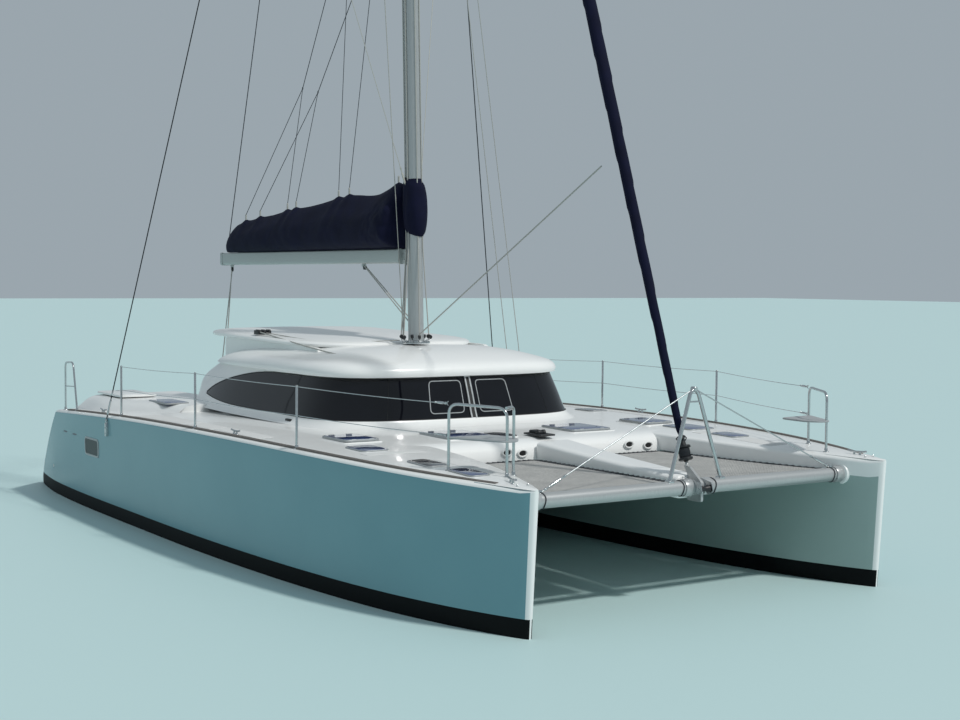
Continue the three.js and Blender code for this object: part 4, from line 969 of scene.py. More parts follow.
fit(join("boom_blocks", *parts), "boom", black_nylon, "wire")
parts = [turning_block("car_block", (-4.93, -0.5, 1.50), (0.2, 1, 0), 0.042)]
car = block("traveller_car", (-4.97, -0.58, 1.375), (-4.89, -0.42, 1.41))
parts.append(soften(car, 0.01))
parts.append(sweep("track", [(-4.93, -1.15 + 0.23 * k, 1.362) for k in range(11)],
                   [(-0.016, -0.012), (0.016, -0.012), (0.016, -0.004), (0.010, 0.0), (0.016, 0.004),
                    (0.016, 0.012),
                    (-0.016, 0.012), (-0.016, 0.004), (-0.010, 0.0), (-0.016, -0.004)], normal=(0, 0, 1)))
for y, x in ((-1.28, -1.66), (-1.36, -1.66), (-1.20, -1.66)):
    clutch = block("clutch", (x - 0.10, y - 0.022, 2.575), (x + 0.06, y + 0.022, 2.635))
    parts.append(soften(clutch, 0.010))
    lever = block("lever", (x - 0.06, y - 0.012, 2.63), (x + 0.05, y + 0.012, 2.645))
    parts.append(soften(lever, 0.004, 2))
parts.append(soften(block("deck_clutch", (0.50, -1.99, 1.53), (0.66, -1.92, 1.585)), 0.01))
fit(join("clutches_and_traveller", *parts), "boat", black_nylon, "wire")


# Furled headsail: the sail rolled on its stay, with the navy strip of its leech wound outside in long
# spiral laps. The drum below turns with it and holds the furling line.
STAY_FOOT = Vector((6.0, 0, 1.45))
STAY_AXIS = Vector((-0.331013, 0, 0.943626))
STAY_ACROSS = Vector((0.943626, 0, 0.331013))
ROLL_HEAD = 17.434
ROLL_ROWS = ((0.33, 0.026), (0.42, 0.040), (1.5, 0.050), (3.2, 0.064), (5.4, 0.076), (9.5, 0.076),
             (14.5, 0.052), (ROLL_HEAD, 0.026))


def stay_at(x, y, z):
    return STAY_FOOT + STAY_ACROSS * x + Vector((0, y, 0)) + STAY_AXIS * z


rings = []
for k in range(300):
    z = mix(0.331, ROLL_HEAD, k / 299)
    radius = between(ROLL_ROWS, z)[0]
    ring = []
    for j in range(40):
        a = math.tau * j / 40
        lap = (j / 40 - z / 0.62) % 1
        wrinkle = noise.noise(Vector((math.cos(a) * 1.5, math.sin(a) * 1.5, z * 3)))
        r = radius * (0.90 + 0.13 * lap + 0.05 * wrinkle)
        ring.append(stay_at(r * math.cos(a), r * math.sin(a), z))
    rings.append(ring)
roll = loft("furled_headsail", rings)
fit(roll, "furler", navy_canvas, "canvas", "headsail_roll", angle=50)
drum_rows = ((0.041, 0.020), (0.045, 0.026), (0.056, 0.028), (0.058, 0.070), (0.063, 0.077), (0.080, 0.077),
             (0.085, 0.070),
             (0.088, 0.042), (0.182, 0.042), (0.185, 0.070), (0.190, 0.077), (0.206, 0.077), (0.211, 0.070),
             (0.214, 0.036), (0.250, 0.033), (0.300, 0.032), (0.322, 0.026))
drum = turned("furler_drum_body", STAY_FOOT, STAY_AXIS, drum_rows, sides=40)
fit(drum, "furler", black_nylon, "wire", "furler_drum", angle=30)
coil_rows = [(0.0885, 0.043)]
coil_rows += [(0.092 + 0.0022 * k, 0.060 + 0.0045 * math.sin(k * 1.6)) for k in range(40)]
coil_rows.append((0.1815, 0.043))
coil = turned("furling_line_on_drum", STAY_FOOT, STAY_AXIS, coil_rows, sides=32)
fit(coil, "furler", dark_rope, "wire", angle=60)
parts = []
for k in range(5):
    a = math.tau * k / 5
    loop = [stay_at(r * math.cos(a + d), r * math.sin(a + d), z) for r, d, z in
            ((0.03, -0.2, 0.262), (0.05, -0.3, 0.285), (0.058, 0.1, 0.30), (0.04, 0.5, 0.31),
             (0.03, 0.2, 0.318))]
    parts.append(sweep("tack_lashing", rounded(loop, 0.01), 0.006, sides=8))
fit(join("tack_lashing", *parts), "furler", dark_rope, "wire")
head_rows = ((ROLL_HEAD + 0.002, 0.012), (ROLL_HEAD + 0.012, 0.027), (ROLL_HEAD + 0.08, 0.028),
             (ROLL_HEAD + 0.09, 0.022),
             (ROLL_HEAD + 0.10, 0.028), (ROLL_HEAD + 0.17, 0.027), (ROLL_HEAD + 0.18, 0.012),
             (ROLL_HEAD + 0.20, 0.008),
             (ROLL_HEAD + 0.45, 0.008), (ROLL_HEAD + 0.46, 0.014), (ROLL_HEAD + 0.58, 0.014),
             (ROLL_HEAD + 0.59, 0.008),
             (18.132, 0.008))
fit(turned("forestay_swivel_and_wire", STAY_FOOT, STAY_AXIS, head_rows), "boat", stainless, "steel",
    "forestay_head")


# Shrouds: cap shrouds of dark wire over the spreader tips, and lower stays from those tips back to
# the mast, each with a bottlescrew. The chainplates are bolted to the outside of the hulls.
wire_rope = grained("dark_wire_rope", "17191c", "3a3e42", 120, 0.45, 0.001, Metallic=0.6)
bright_wire = grained("bright_wire_rope", "a5a49c", "cfcdc3", 120, 0.4, 0.001, Metallic=0.4)
CHAINPLATE_X = -2.5


def bottlescrew(name, foot, head, start, length):
    """A turnbuckle along a wire: forks, threaded ends and the open body between them."""
    foot, head = Vector(foot), Vector(head)
    axis = (head - foot).normalized()
    rows = ((0, 0.6), (0.04, 1.0), (0.10, 1.0), (0.13, 0.55), (0.26, 0.5), (0.28, 0.95), (0.34, 1),
            (0.66, 1), (0.72, 0.95), (0.74, 0.5), (0.86, 0.5), (0.88, 0.8), (0.98, 0.8), (1.0, 0.45))
    return turned(name, foot + axis * start, axis, [(h * length, r * 0.014) for h, r in rows], sides=14)


for name, s in SIDES:
    edge = HULL_Y + between(STATIONS, CHAINPLATE_X)[0]
    foot = Vector((CHAINPLATE_X, s * (edge + 0.026), sheer(CHAINPLATE_X) - 0.12))
    head = mast_at(0, s * 0.12, HOUNDS - 0.062)
    tip = Vector(mast_at(SPREADER_TIP[0], s * SPREADER_TIP[1], SPREADER_TIP[2]))
    low, high = sorted((s * (edge - 0.05), s * (edge + 0.034)))
    plate = soften(block("chainplate", (CHAINPLATE_X - 0.03, low, foot.z - 0.17),
                         (CHAINPLATE_X + 0.03, high, foot.z + 0.02)), 0.008)
    wire = sweep(f"cap_shroud_wire_{name}", [foot.lerp(head, k / 12) for k in range(13)], 0.008, sides=10)
    fit(wire, "boat", wire_rope, "wire", f"cap_shroud_{name}")
    parts = [plate, bottlescrew("bottlescrew", foot, head, 0.02, 0.46)]
    for dz in (-0.13, -0.05):
        parts.append(turned("bolt", (CHAINPLATE_X, s * (edge + 0.03), foot.z + dz), (0, s, 0),
                            ((0, 0.012), (0.008, 0.012), (0.01, 0.009)), sides=6))
    fit(join(f"chainplate_and_screw_{name}", *parts), "boat", stainless, "steel")
    lower = mast_at(0.0, s * 0.10, 2.05)
    upper = mast_at(0.0, s * 0.10, 15.4)
    parts = [taut("lower_stay", lower, tip, radius=0.0045), taut("lower_stay", tip, upper, radius=0.0045)]
    parts.append(bottlescrew("stay_screw", lower, tip, 0.03, 0.32))
    tang = soften(block("tang", (-0.02, -0.012, -0.05), (0.02, 0.012, 0.05)), 0.004, 2)
    for vertex in tang.data.vertices:
        vertex.co = lower + Vector((vertex.co.x, vertex.co.y, vertex.co.z))
    parts.append(tang)
    fit(join(f"lower_stays_{name}", *parts), "boat", bright_wire, "wire")


# Crossbeam: a round anodised tube between the bows, let into a moulded socket at each end, with a tack
# plate and forks for the forestay in its middle.
BEAM = Vector((6.13, 0, 1.24))
BEAM_R = 0.078
rows = [(-2.30, BEAM_R * 0.98)]
for y in (-2.08, -0.13, 0.13, 2.08):
    rows += [(y - 0.056, BEAM_R), (y - 0.055, 0.09), (y - 0.050, 0.092), (y + 0.050, 0.092),
             (y + 0.055, 0.09), (y + 0.056, BEAM_R)]
rows.append((2.30, BEAM_R * 0.98))
beam = turned("beam_tube", BEAM, (0, 1, 0), rows, sides=48)
plate_outline = [(6.02, 0, 1.09), (6.24, 0, 1.09), (6.24, 0, 1.30), (6.04, 0, 1.45), (5.96, 0, 1.45),
                 (6.02, 0, 1.37)]
plate = loft("tack_plate", [[p + Vector((0, y, 0)) for p in rounded(plate_outline, 0.03, closed=True)]
                            for y in (-0.016, -0.014, 0.014, 0.016)])
toggle = turned("stay_toggle", STAY_FOOT, STAY_AXIS, ((-0.02, 0.012), (-0.016, 0.018), (0.03, 0.018),
                                                      (0.039, 0.014)))
pin = turned("toggle_pin", STAY_FOOT - Vector((0, 0.03, 0)), (0, 1, 0),
             ((0, 0.009), (0.003, 0.012), (0.057, 0.012), (0.06, 0.009)))
fit(join("crossbeam_tube", beam, plate, toggle, pin), "boat", anodised, "alloy", "crossbeam", angle=30)
parts = []
for s in (-1, 1):
    socket_rows = [(y, r) for y, r in ((2.135, 0.09), (2.14, 0.112), (2.15, 0.118), (2.24, 0.120),
                                       (2.30, 0.124))]
    parts.append(turned("bow_socket", BEAM, (0, s, 0), socket_rows, sides=40))
fit(join("bow_sockets", *parts), "boat", gelcoat, "gelcoat", angle=40)
parts = []
for y in (-2.035, -1.98, -0.22, 0.22, 1.98, 2.035):
    ring = [BEAM + Vector((0.083 * math.cos(a), y + 0.006 * math.sin(3 * a), 0.083 * math.sin(a)))
            for a in [math.tau * k / 24 for k in range(24)]]
    parts.append(sweep("beam_lashing", ring, 0.006, closed=True, sides=8))
fit(join("beam_lashings", *parts), "boat", dark_rope, "wire")


# Longeron: the moulded spine from the foredeck to the crossbeam, rounded on top, which carries the
# anchor roller, the stem fitting and the inner edges of the nets.
def longeron_ring(x, half, low, high):
    ring = [(x, -half, low), (x, half, low), (x, half * 1.05, high - 0.03), (x, half * 0.8, high),
            (x, -half * 0.8, high), (x, -half * 1.05, high - 0.03)]
    return rounded(ring, 0.05, closed=True, steps=5)


rows = ((3.641, 0.25, 1.18, 1.495), (4.0, 0.236, 1.165, 1.468), (4.7, 0.20, 1.13, 1.418),
        (5.4, 0.175, 1.118, 1.38),
        (6.0, 0.152, 1.11, 1.350), (6.012, 0.145, 1.118, 1.342), (6.018, 0.13, 1.13, 1.33))
spine = loft("longeron_moulding", [longeron_ring(*row) for row in rows])
fit(spine, "boat", gelcoat, "gelcoat", "longeron", angle=40)
parts = []
for y in (-0.075, 0.075):
    outline = [(5.70, y, 1.36), (6.10, y, 1.335), (6.30, y, 1.30), (6.33, y, 1.20), (6.24, y, 1.17),
               (6.12, y, 1.325), (5.70, y, 1.352)]
    parts.append(loft("roller_cheek", [[p + Vector((0, dy, 0)) for p in rounded(outline, 0.02, closed=True)]
                                      for dy in (-0.004, 0.004)]))
parts.append(turned("roller_pin", (6.27, -0.09, 1.235), (0, 1, 0),
                    ((0, 0.008), (0.004, 0.011), (0.176, 0.011), (0.18, 0.008))))
fit(join("anchor_roller_cheeks", *parts), "boat", stainless, "steel")
roller = turned("anchor_roller", (6.27, -0.065, 1.235), (0, 1, 0),
                ((0, 0.036), (0.01, 0.04), (0.04, 0.030), (0.065, 0.024), (0.09, 0.030), (0.12, 0.04),
                 (0.13, 0.036)), sides=32)
fit(roller, "boat", black_nylon, "wire")


# Striker: a welded frame of bright tube over the crossbeam, which holds the beam straight through
# its two stays.
tops = 1.24 + BEAM_R
path = [(6.13, -0.35, tops), (6.094, -0.052, 2.225), (6.09, 0.0, 2.262), (6.094, 0.052, 2.225),
        (6.13, 0.35, tops)]
parts = [sweep("striker_legs", rounded(path, 0.035), 0.021, sides=20)]
parts.append(sweep("striker_tie", [(6.098, -0.085, 2.13), (6.098, 0.085, 2.13)], 0.009, sides=12))
for s in (-1, 1):
    parts.append(soften(block("striker_foot", (6.09, s * 0.35 - 0.038, 1.295),
                              (6.17, s * 0.35 + 0.038, 1.332)), 0.010))
    head, foot = Vector((6.09, s * 0.01, 2.262)), Vector((6.13, s * 2.0, 1.24 + BEAM_R - 0.004))
    parts.append(sweep("striker_stay", [head.lerp(foot, k / 8) for k in range(9)], 0.007, sides=10))
    parts.append(bottlescrew("striker_screw", foot, head, 0.06, 0.30))
    parts.append(soften(block("stay_lug", (6.12, s * 2.0 - 0.03, 1.30), (6.14, s * 2.0 + 0.03, 1.345)),
                        0.006, 2))
parts.append(turned("striker_crown", (6.055, 0, 2.262), (1, 0, 0),
                    ((0, 0.02), (0.005, 0.026), (0.065, 0.026), (0.07, 0.02))))
fit(join("striker_frame", *parts), "boat", stainless, "steel", "striker")


# Nets: knitted polyester mesh with a bound hem, stretched between the hulls, the longeron and the
# beam, and laced to all of them. Its eye of fifteen millimetres is drawn at twenty-five, so that it shows.
mesh_cloth, mesh_shader = new_material("knitted_net", "a8a7a4", 0.8)
place = add_node(mesh_cloth, "ShaderNodeTexCoord").outputs["Object"]
warp = add_node(mesh_cloth, "ShaderNodeTexWave", {"Vector": place, "Scale": 12.6},
                bands_direction="X").outputs["Fac"]
weft = add_node(mesh_cloth, "ShaderNodeTexWave", {"Vector": place, "Scale": 12.6},
                bands_direction="Y").outputs["Fac"]
eye = add_node(mesh_cloth, "ShaderNodeMath", {0: warp, 1: weft}, operation="MULTIPLY").outputs[0]
worn = add_node(mesh_cloth, "ShaderNodeTexNoise", {"Vector": place, "Scale": 5.0,
                                                   "Detail": 6.0}).outputs["Fac"]
cord_tone = add_node(mesh_cloth, "ShaderNodeMix", {"Factor": worn, "A": linear("a0a09e"),
                                                   "B": linear("cfceca")},
                     data_type="RGBA").outputs["Result"]
speck = add_node(mesh_cloth, "ShaderNodeTexNoise", {"Vector": place, "Scale": 45.0,
                                                    "Detail": 4.0}).outputs["Fac"]
mixed = add_node(mesh_cloth, "ShaderNodeMath", {0: eye, 1: speck}, operation="ADD").outputs[0]
# The eyes of the mesh are painted dark grey: painted shade of the space under the net, which is drawn solid.
hole = add_node(mesh_cloth, "ShaderNodeMapRange", {"Value": mixed, "From Min": 0.72,
                                                   "From Max": 1.12}).outputs[0]
tone = add_node(mesh_cloth, "ShaderNodeMix", {"Factor": hole, "A": cord_tone, "B": linear("4c5253")},
                data_type="RGBA").outputs["Result"]
mesh_cloth.node_tree.links.new(tone, mesh_shader.inputs["Base Color"])
bump = add_node(mesh_cloth, "ShaderNodeBump", {"Height": eye, "Strength": 0.6,
                                               "Distance": -0.003}).outputs["Normal"]
mesh_cloth.node_tree.links.new(bump, mesh_shader.inputs["Normal"])
NET_AFT, NET_FORE, NET_Z = 3.69, 5.99, 1.278


def net_edges(x):
    t = (x - NET_AFT) / (NET_FORE - NET_AFT)
    return mix(0.25, 0.15, t) * 1.05 + 0.06, HULL_Y - between(STATIONS, x)[0] - 0.045


def net_point(x, across, s):
    """A point of the net, which sags a little between its laced edges."""
    inner, outer = net_edges(x)
    t = (x - NET_AFT) / (NET_FORE - NET_AFT)
    sag = 0.006 * math.sin(math.pi * across) * math.sin(math.pi * t)
    return Vector((x, s * mix(inner, outer, across), NET_Z - sag))


for name, s in SIDES:
    rows = [mix(NET_AFT, NET_FORE, k / 40) for k in range(41)]
    net = loft(f"net_{name}", [[net_point(x, j / 28, s) for j in range(29)] for x in rows], closed=False,
               ends=False)
    flat = sum((net_edges(a)[1] - net_edges(a)[0] + net_edges(b)[1] - net_edges(b)[0]) / 2 * (b - a)
               for a, b in zip(rows, rows[1:]))
    apply(net, "SOLIDIFY", thickness=0.004, offset=0)
    fit(net, "boat", mesh_cloth, "net", f"trampoline_{name}")
    border = [net_point(x, 0, s) for x in rows] + [net_point(NET_FORE, j / 28, s) for j in range(1, 29)]
    border += [net_point(x, 1, s) for x in reversed(rows[:-1])]
    border += [net_point(NET_AFT, j / 28, s) for j in range(27, 0, -1)]
    hem = sweep(f"net_hem_{name}", border, 0.011, closed=True, sides=8)
    fit(hem, "boat", dark_rope, "net")
    lacings = []
    for across, reach in ((0, -0.055), (1, 0.052)):
        path = []
        for k in range(54):
            x = mix(NET_AFT + 0.03, NET_FORE - 0.05, k / 53)
            edge = net_point(x, across, s)
            path.append(edge + Vector((0, s * (reach if k % 2 else -reach * 0.25), 0.006)))
        lacings.append(sweep("lacing", path, 0.007, sides=6))
    for x, reach in ((NET_FORE, 0.062), (NET_AFT, -0.045)):
        path = []
        inner, outer = net_edges(x)
        count = 34
        for k in range(count):
            y = mix(inner + 0.03, outer - 0.03, k / (count - 1))
            path.append(Vector((x + (reach if k % 2 else -reach * 0.25), s * y, NET_Z + 0.006)))
        lacings.append(sweep("lacing", path, 0.007, sides=6))
    lacing = join(f"net_lacing_{name}", *lacings)
    fit(lacing, "boat", dark_rope, "net")


# Toe rails: a low grey-brown strip along each gunwale, from the aft deck to the bow.
toe_strip = grained("weathered_toe_rail", "55504c", "7c7772", 20, 0.7, 0.001)
for name, s in SIDES:
    path = []
    for k in range(90):
        x = mix(-4.55, 6.12, k / 89)
        deck = between(STATIONS, x)[0]
        path.append(Vector((x, s * (HULL_Y + deck - min(0.09, deck * 0.4)), sheer(x) + 0.007)))
    flat = [(-0.028, -0.01), (0.028, -0.01), (0.028, 0.010), (0.022, 0.015), (0.003, 0.015), (0.0, 0.009),
            (-0.003, 0.015), (-0.022, 0.015), (-0.028, 0.010)]
    fit(sweep(f"toe_rail_{name}", path, flat, normal=(0, 0, 1)), "boat", toe_strip, "gelcoat")


# Pulpits, guardrails and pushpits: bent and welded stainless tube of 28 mm, on round base plates, with
# a moulded seat in each pulpit and two wires along the stanchions. One pulpit has a third leg.
TUBE_R = 0.014
STANCHIONS = (3.04, 0.45, -2.16)
WIRE_HEIGHTS = (0.69, 0.37)
LEGS = {"outer": (5.28, 2.51), "front": (5.86, 2.20), "inner": (5.74, 2.04)}
# The seat boards are painted blue grey: painted shade with a painted reflection of the sky on the board.
seat_plastic = grained("seat_board_painted_shade", "8c9297", "b3b6b6", 12, 0.5, 0.001)


def deck_at(x, y, height):
    half = between(STATIONS, x)[0]
    crown = 0.018 * (1 - min(1, abs(abs(y) - HULL_Y) / half) ** 2)
    return Vector((x, y, sheer(x) + (crown if height < 0.05 else 0) + height))


def rail_at(x, s, height):
    return deck_at(x, s * (HULL_Y + between(STATIONS, x)[0] - 0.085), height)


def base_plate(point, radius=0.034):
    rows = ((-0.008, radius * 0.9), (0.004, radius), (0.007, radius * 0.95), (0.009, radius * 0.6),
            (0.04, 0.019), (0.044, 0.0165))
    return turned("base_plate", point, (0, 0, 1), rows, sides=20)


for name, s in SIDES:
    outer, front, inner = (Vector((x, s * y, 0)) for x, y in LEGS.values())
    tops = [deck_at(p.x, p.y, 0.69) for p in (outer, front, inner)]
    feet = [deck_at(p.x, p.y, 0.0) for p in (outer, front, inner)]
    parts = [sweep("loop", rounded([feet[0], tops[0], tops[1], feet[1]], 0.11), 0.015, sides=14)]
    parts += [base_plate(foot) for foot in feet[:2]]
    if s < 0:
        parts.append(sweep("third_leg", rounded([tops[1] + Vector((-0.02, 0, 0)), tops[2], feet[2]], 0.07),
                           0.015, sides=14))
        parts.append(base_plate(feet[2]))
    for height in WIRE_HEIGHTS:
        corner = deck_at(outer.x, outer.y, height)
        eye = [corner + Vector((-0.012, 0, 0.02)), corner + Vector((-0.035, 0, 0.01)),
               corner + Vector((-0.035, 0, -0.01)),
               corner + Vector((-0.012, 0, -0.02))]
        parts.append(sweep("wire_eye", rounded(eye, 0.01), 0.004, sides=8))
    fit(join(f"pulpit_frame_{name}", *parts), "boat", stainless, "steel", f"pulpit_{name}")
    low = sheer(outer.x) + 0.335
    board = [(5.265, s * 2.545, 0), (5.33, s * 2.0, 0), (5.73, s * 1.97, 0), (5.89, s * 2.09, 0),
             (5.89, s * 2.235, 0)]
    board = rounded(board, 0.07, closed=True)
    middle = sum(board, Vector()) / len(board)
    rings = [[middle + (p - middle) * grow + Vector((0, 0, low + z)) for p in board]
             for z, grow in ((0.001, 0.97), (0.005, 0.995), (0.016, 0.995), (0.021, 0.97), (0.022, 0.90),
                             (0.019, 0.5))]
    fit(loft(f"pulpit_seat_{name}", rings), "boat", seat_plastic, "gelcoat")

    parts = []
    for x in STANCHIONS:
        foot, top = rail_at(x, s, 0), rail_at(x, s, 0.70)
        rows = ((0, TUBE_R), (0.694, TUBE_R), (0.701, 0.011), (0.705, 0.005))
        parts.append(turned("stanchion", foot, (0, 0, 1), rows, sides=16))
        parts.append(base_plate(foot))
        for height in WIRE_HEIGHTS:
            parts.append(turned("ferrule", rail_at(x, s, height) - Vector((0.019, 0, 0)), (1, 0, 0),
                                ((0, 0.006), (0.003, 0.008), (0.035, 0.008), (0.038, 0.006)), sides=10))
    for height in WIRE_HEIGHTS:
        points = [rail_at(x, s, height) for x in reversed(STANCHIONS)]
        end = deck_at(outer.x, outer.y, height)
        points.append(end + (points[-1] - end).normalized() * 0.036)
        path = []
        for p, q in zip(points, points[1:]):
            for t in range(9 if q is points[-1] else 8):
                path.append(p.lerp(q, t / 8) - Vector((0, 0, 0.012 * math.sin(math.pi * t / 8))))
        parts.append(sweep("guard_wire", path, 0.004, sides=8))
        parts.append(bottlescrew("guard_screw", points[-1], points[-2], 0.0, 0.16))
    fit(join(f"guardrail_posts_and_wires_{name}", *parts), "boat", stainless, "steel", f"guardrail_{name}")

    feet = [rail_at(x, s, 0) for x in (-4.76, -4.13)]
    tops = [rail_at(x, s, 0.73) for x in (-4.76, -4.33)]
    parts = [sweep("pushpit_loop", rounded([feet[0], tops[0], tops[1], feet[1]], 0.09), TUBE_R, sides=14)]
    bar = [feet[0].lerp(tops[0], 0.5), feet[1].lerp(tops[1], 0.5)]
    parts.append(sweep("middle_bar", bar, 0.009, sides=10))
    parts += [base_plate(foot) for foot in feet]
    fit(join(f"pushpit_frame_{name}", *parts), "boat", stainless, "steel", f"pushpit_{name}")


# Deck hatches: smoked acrylic panes in anodised frames. The cabin hatches and the foredeck locker lids
# hinge at their forward edge; the fixed lights and small hatches lie flush in the deck.
smoked = grained("smoked_blue_acrylic", "2b3963", "415484", 4, 0.08, Coat_Weight=0.5)
grey_smoked = grained("smoked_grey_acrylic", "2c2e34", "4b4e56", 4, 0.12, Coat_Weight=0.4)
LEVEL_RINGS = ((0.0, 0.0), (0.7, 0.0), (0.92, 0.25), (1.0, 1.0))


def slab(name, low, high, reach=0.06, edge=0.006):
    """A plate with rounded corners and a softened upper edge."""
    outline = [(low[0], low[1], 0), (high[0], low[1], 0), (high[0], high[1], 0), (low[0], high[1], 0)]
    outline = rounded(outline, reach, closed=True)
    middle = Vector(((low[0] + high[0]) / 2, (low[1] + high[1]) / 2, 0))
    span = Vector(((high[0] - low[0]) / 2, (high[1] - low[1]) / 2, 1))
    rings = []
    for share, inset in LEVEL_RINGS:
        scale = [1 - inset * edge / span.x, 1 - inset * edge / span.y]
        z = mix(low[2], high[2], share)
        rings.append([Vector((middle.x + (p.x - middle.x) * scale[0],
                              middle.y + (p.y - middle.y) * scale[1], z))
                      for p in outline])
    return loft(name, rings)


def frame_ring(name, low, high, width, top, reach=0.06):
    """A flat frame around a pane."""
    outline = [(low[0], low[1], low[2]), (high[0], low[1], low[2]), (high[0], high[1], low[2]),
               (low[0], high[1], low[2])]
    flat = [(-width / 2, 0), (width / 2, 0), (width / 2, top * 0.7), (width * 0.35, top),
            (-width * 0.35, top), (-width / 2, top * 0.7)]
    return sweep(name, rounded(outline, reach, closed=True), flat, closed=True, normal=(0, 0, 1))


def lid(name, body, low, high, material, node, hinge_x):
    """A hinged pane with its frame, two hinges and two inner handles."""
    pane = slab(f"{name}_pane", (low[0] + 0.018, low[1] + 0.018, low[2] + 0.002),
                (high[0] - 0.018, high[1] - 0.018, high[2]), 0.05)
    fit(pane, body, material, "smoked_acrylic", node)
    inner = [low[0] + 0.014, low[1] + 0.014, low[2] + 0.001]
    outer = [high[0] - 0.014, high[1] - 0.014, low[2]]
    parts = [frame_ring("frame", inner, outer, 0.026, high[2] - low[2] - 0.003)]
    for y in (mix(low[1], high[1], 0.25), mix(low[1], high[1], 0.75)):
        parts.append(turned("hinge", (hinge_x - 0.012, y - 0.03, high[2] - 0.002), (0, 1, 0),
                            ((0, 0.004), (0.002, 0.006), (0.058, 0.006), (0.06, 0.004)), sides=12))
        handle = block("handle", (low[0] + 0.05, y - 0.035, high[2] - 0.001),
                       (low[0] + 0.075, y + 0.035, high[2] + 0.007))
        parts.append(soften(handle, 0.003, 2))
    fit(join(f"{name}_frame", *parts), body, grey_strip, "alloy")


LIGHTS = {  # fixed lights and small hatches of the side decks, fore and aft, then out from the middle
    "starboard": ((4.57, 5.02, 2.34, 2.58), (5.28, 5.72, 2.30, 2.52), (3.30, 3.72, 2.30, 2.62)),
    "port": ((0.62, 1.04, 2.55, 2.83), (4.05, 4.47, 2.08, 2.34), (3.10, 3.66, 2.10, 2.50)),
}
for name, s in SIDES:
    z = sheer(2.65) + 0.024
    y0, y1 = sorted((s * 2.2 - 0.23, s * 2.2 + 0.23))
    lid(f"cabin_hatch_{name}", f"cabin_hatch_{name}", (2.34, y0, z), (2.96, y1, z + 0.028), smoked,
        f"cabin_hatch_{name}", 2.96)
    y0, y1 = sorted((s * 0.59, s * 1.21))
    lid(f"locker_{name}", f"locker_lid_{name}", (2.50, y0, 1.523), (3.20, y1, 1.551), smoked,
        f"locker_lid_{name}", 3.20)
    rim = frame_ring("rim", (2.325, s * 2.2 - 0.245, sheer(2.65) - 0.01), (2.975, s * 2.2 + 0.245, 0), 0.03,
                     0.032)
    coaming = frame_ring("coaming", (2.475, s * 0.9 - 0.335, 1.49), (3.225, s * 0.9 + 0.335, 0), 0.05,
                         0.032)
    for vertex in rim.data.vertices:
        vertex.co.z = max(vertex.co.z, sheer(vertex.co.x) - 0.01)
    fit(join(f"hatch_rims_{name}", rim, coaming), "boat", gelcoat, "gelcoat")

    panes, frames = [], []
    for x0, x1, ya, yb in LIGHTS[name]:
        y0, y1 = sorted((s * ya, s * yb))
        pane = slab("light", (x0, y0, 0.002), (x1, y1, 0.016), 0.07, 0.004)
        ring = frame_ring("ring", (x0 - 0.006, y0 - 0.006, -0.006), (x1 + 0.006, y1 + 0.006, 0), 0.022,
                          0.020, 0.075)
        for piece in (pane, ring):
            for vertex in piece.data.vertices:
                at = deck_at(vertex.co.x, vertex.co.y, 0)
                vertex.co.z += at.z
        panes.append(pane)
        frames.append(ring)
    aft_light = (-3.15, -2.45)
    y0, y1 = sorted((s * 2.08, s * 2.42))
    panes.append(slab("light", (aft_light[0], y0, 1.562), (aft_light[1], y1, 1.582), 0.07, 0.004))
    frames.append(frame_ring("ring", (aft_light[0] - 0.006, y0 - 0.006, 1.556),
                             (aft_light[1] + 0.006, y1 + 0.006, 0), 0.022, 0.024, 0.075))
    fit(join(f"deck_lights_{name}", *panes[1:]), "boat", smoked, "smoked_acrylic")
    fit(panes[0], "boat", grey_smoked, "smoked_acrylic")
    panes[0].name = f"small_hatch_pane_{name}"
    fit(join(f"deck_light_frames_{name}", *frames), "boat", grey_strip, "alloy")

    y0, y1 = s * HULL_Y - 0.295, s * HULL_Y + 0.295
    cover_lid = slab(f"engine_hatch_cover_{name}", (-4.75, y0, 1.581), (-3.70, y1, 1.611), 0.07, 0.008)
    fit(cover_lid, f"engine_hatch_{name}", gelcoat, "gelcoat", f"engine_hatch_{name}")
    pad = slab(f"engine_hatch_grip_{name}", (-4.69, y0 + 0.06, 1.609), (-3.76, y1 - 0.06, 1.613), 0.05,
               0.002)
    latch = turned(f"latch_{name}", (-4.62, s * HULL_Y, 1.609), (0, 0, 1),
                   ((0, 0.035), (0.005, 0.035), (0.008, 0.03), (0.008, 0.02)), sides=28)
    fit(latch, f"engine_hatch_{name}", stainless, "steel")
    fit(pad, f"engine_hatch_{name}", gelcoat, "gelcoat")


# Non-skid panels on the side decks and foredeck, moulded with a fine diamond grain a shade greyer
# than the smooth gelcoat round them.
grip = grained("non_skid_gelcoat", "cdcfce", "dcdddc", 45, 0.75, 0.0015)
for name, s in SIDES:
    panels = []
    for x0, x1, ya, yb in ((-1.95, -0.30, 2.78, 3.08), (-0.18, 0.62, 2.83, 3.08), (0.72, 1.95, 2.84, 3.06),
                           (3.82, 3.98, 1.98, 2.72), (4.55, 5.20, 1.98, 2.25)):
        y0, y1 = sorted((s * ya, s * yb))
        deselect()
        bpy.ops.mesh.primitive_grid_add(x_subdivisions=12, y_subdivisions=6, size=1)
        bpy.context.object.scale = (x1 - x0, y1 - y0, 1)
        bpy.context.object.location = ((x0 + x1) / 2, (y0 + y1) / 2, 0)
        panel = start("panel")
        for vertex in panel.data.vertices:
            vertex.co.z = deck_at(vertex.co.x, vertex.co.y, 0).z + 0.0015
        apply(panel, "SOLIDIFY", thickness=0.003, offset=0)
        panels.append(panel)
    fit(join(f"non_skid_panels_{name}", *panels), "boat", grip, "gelcoat")


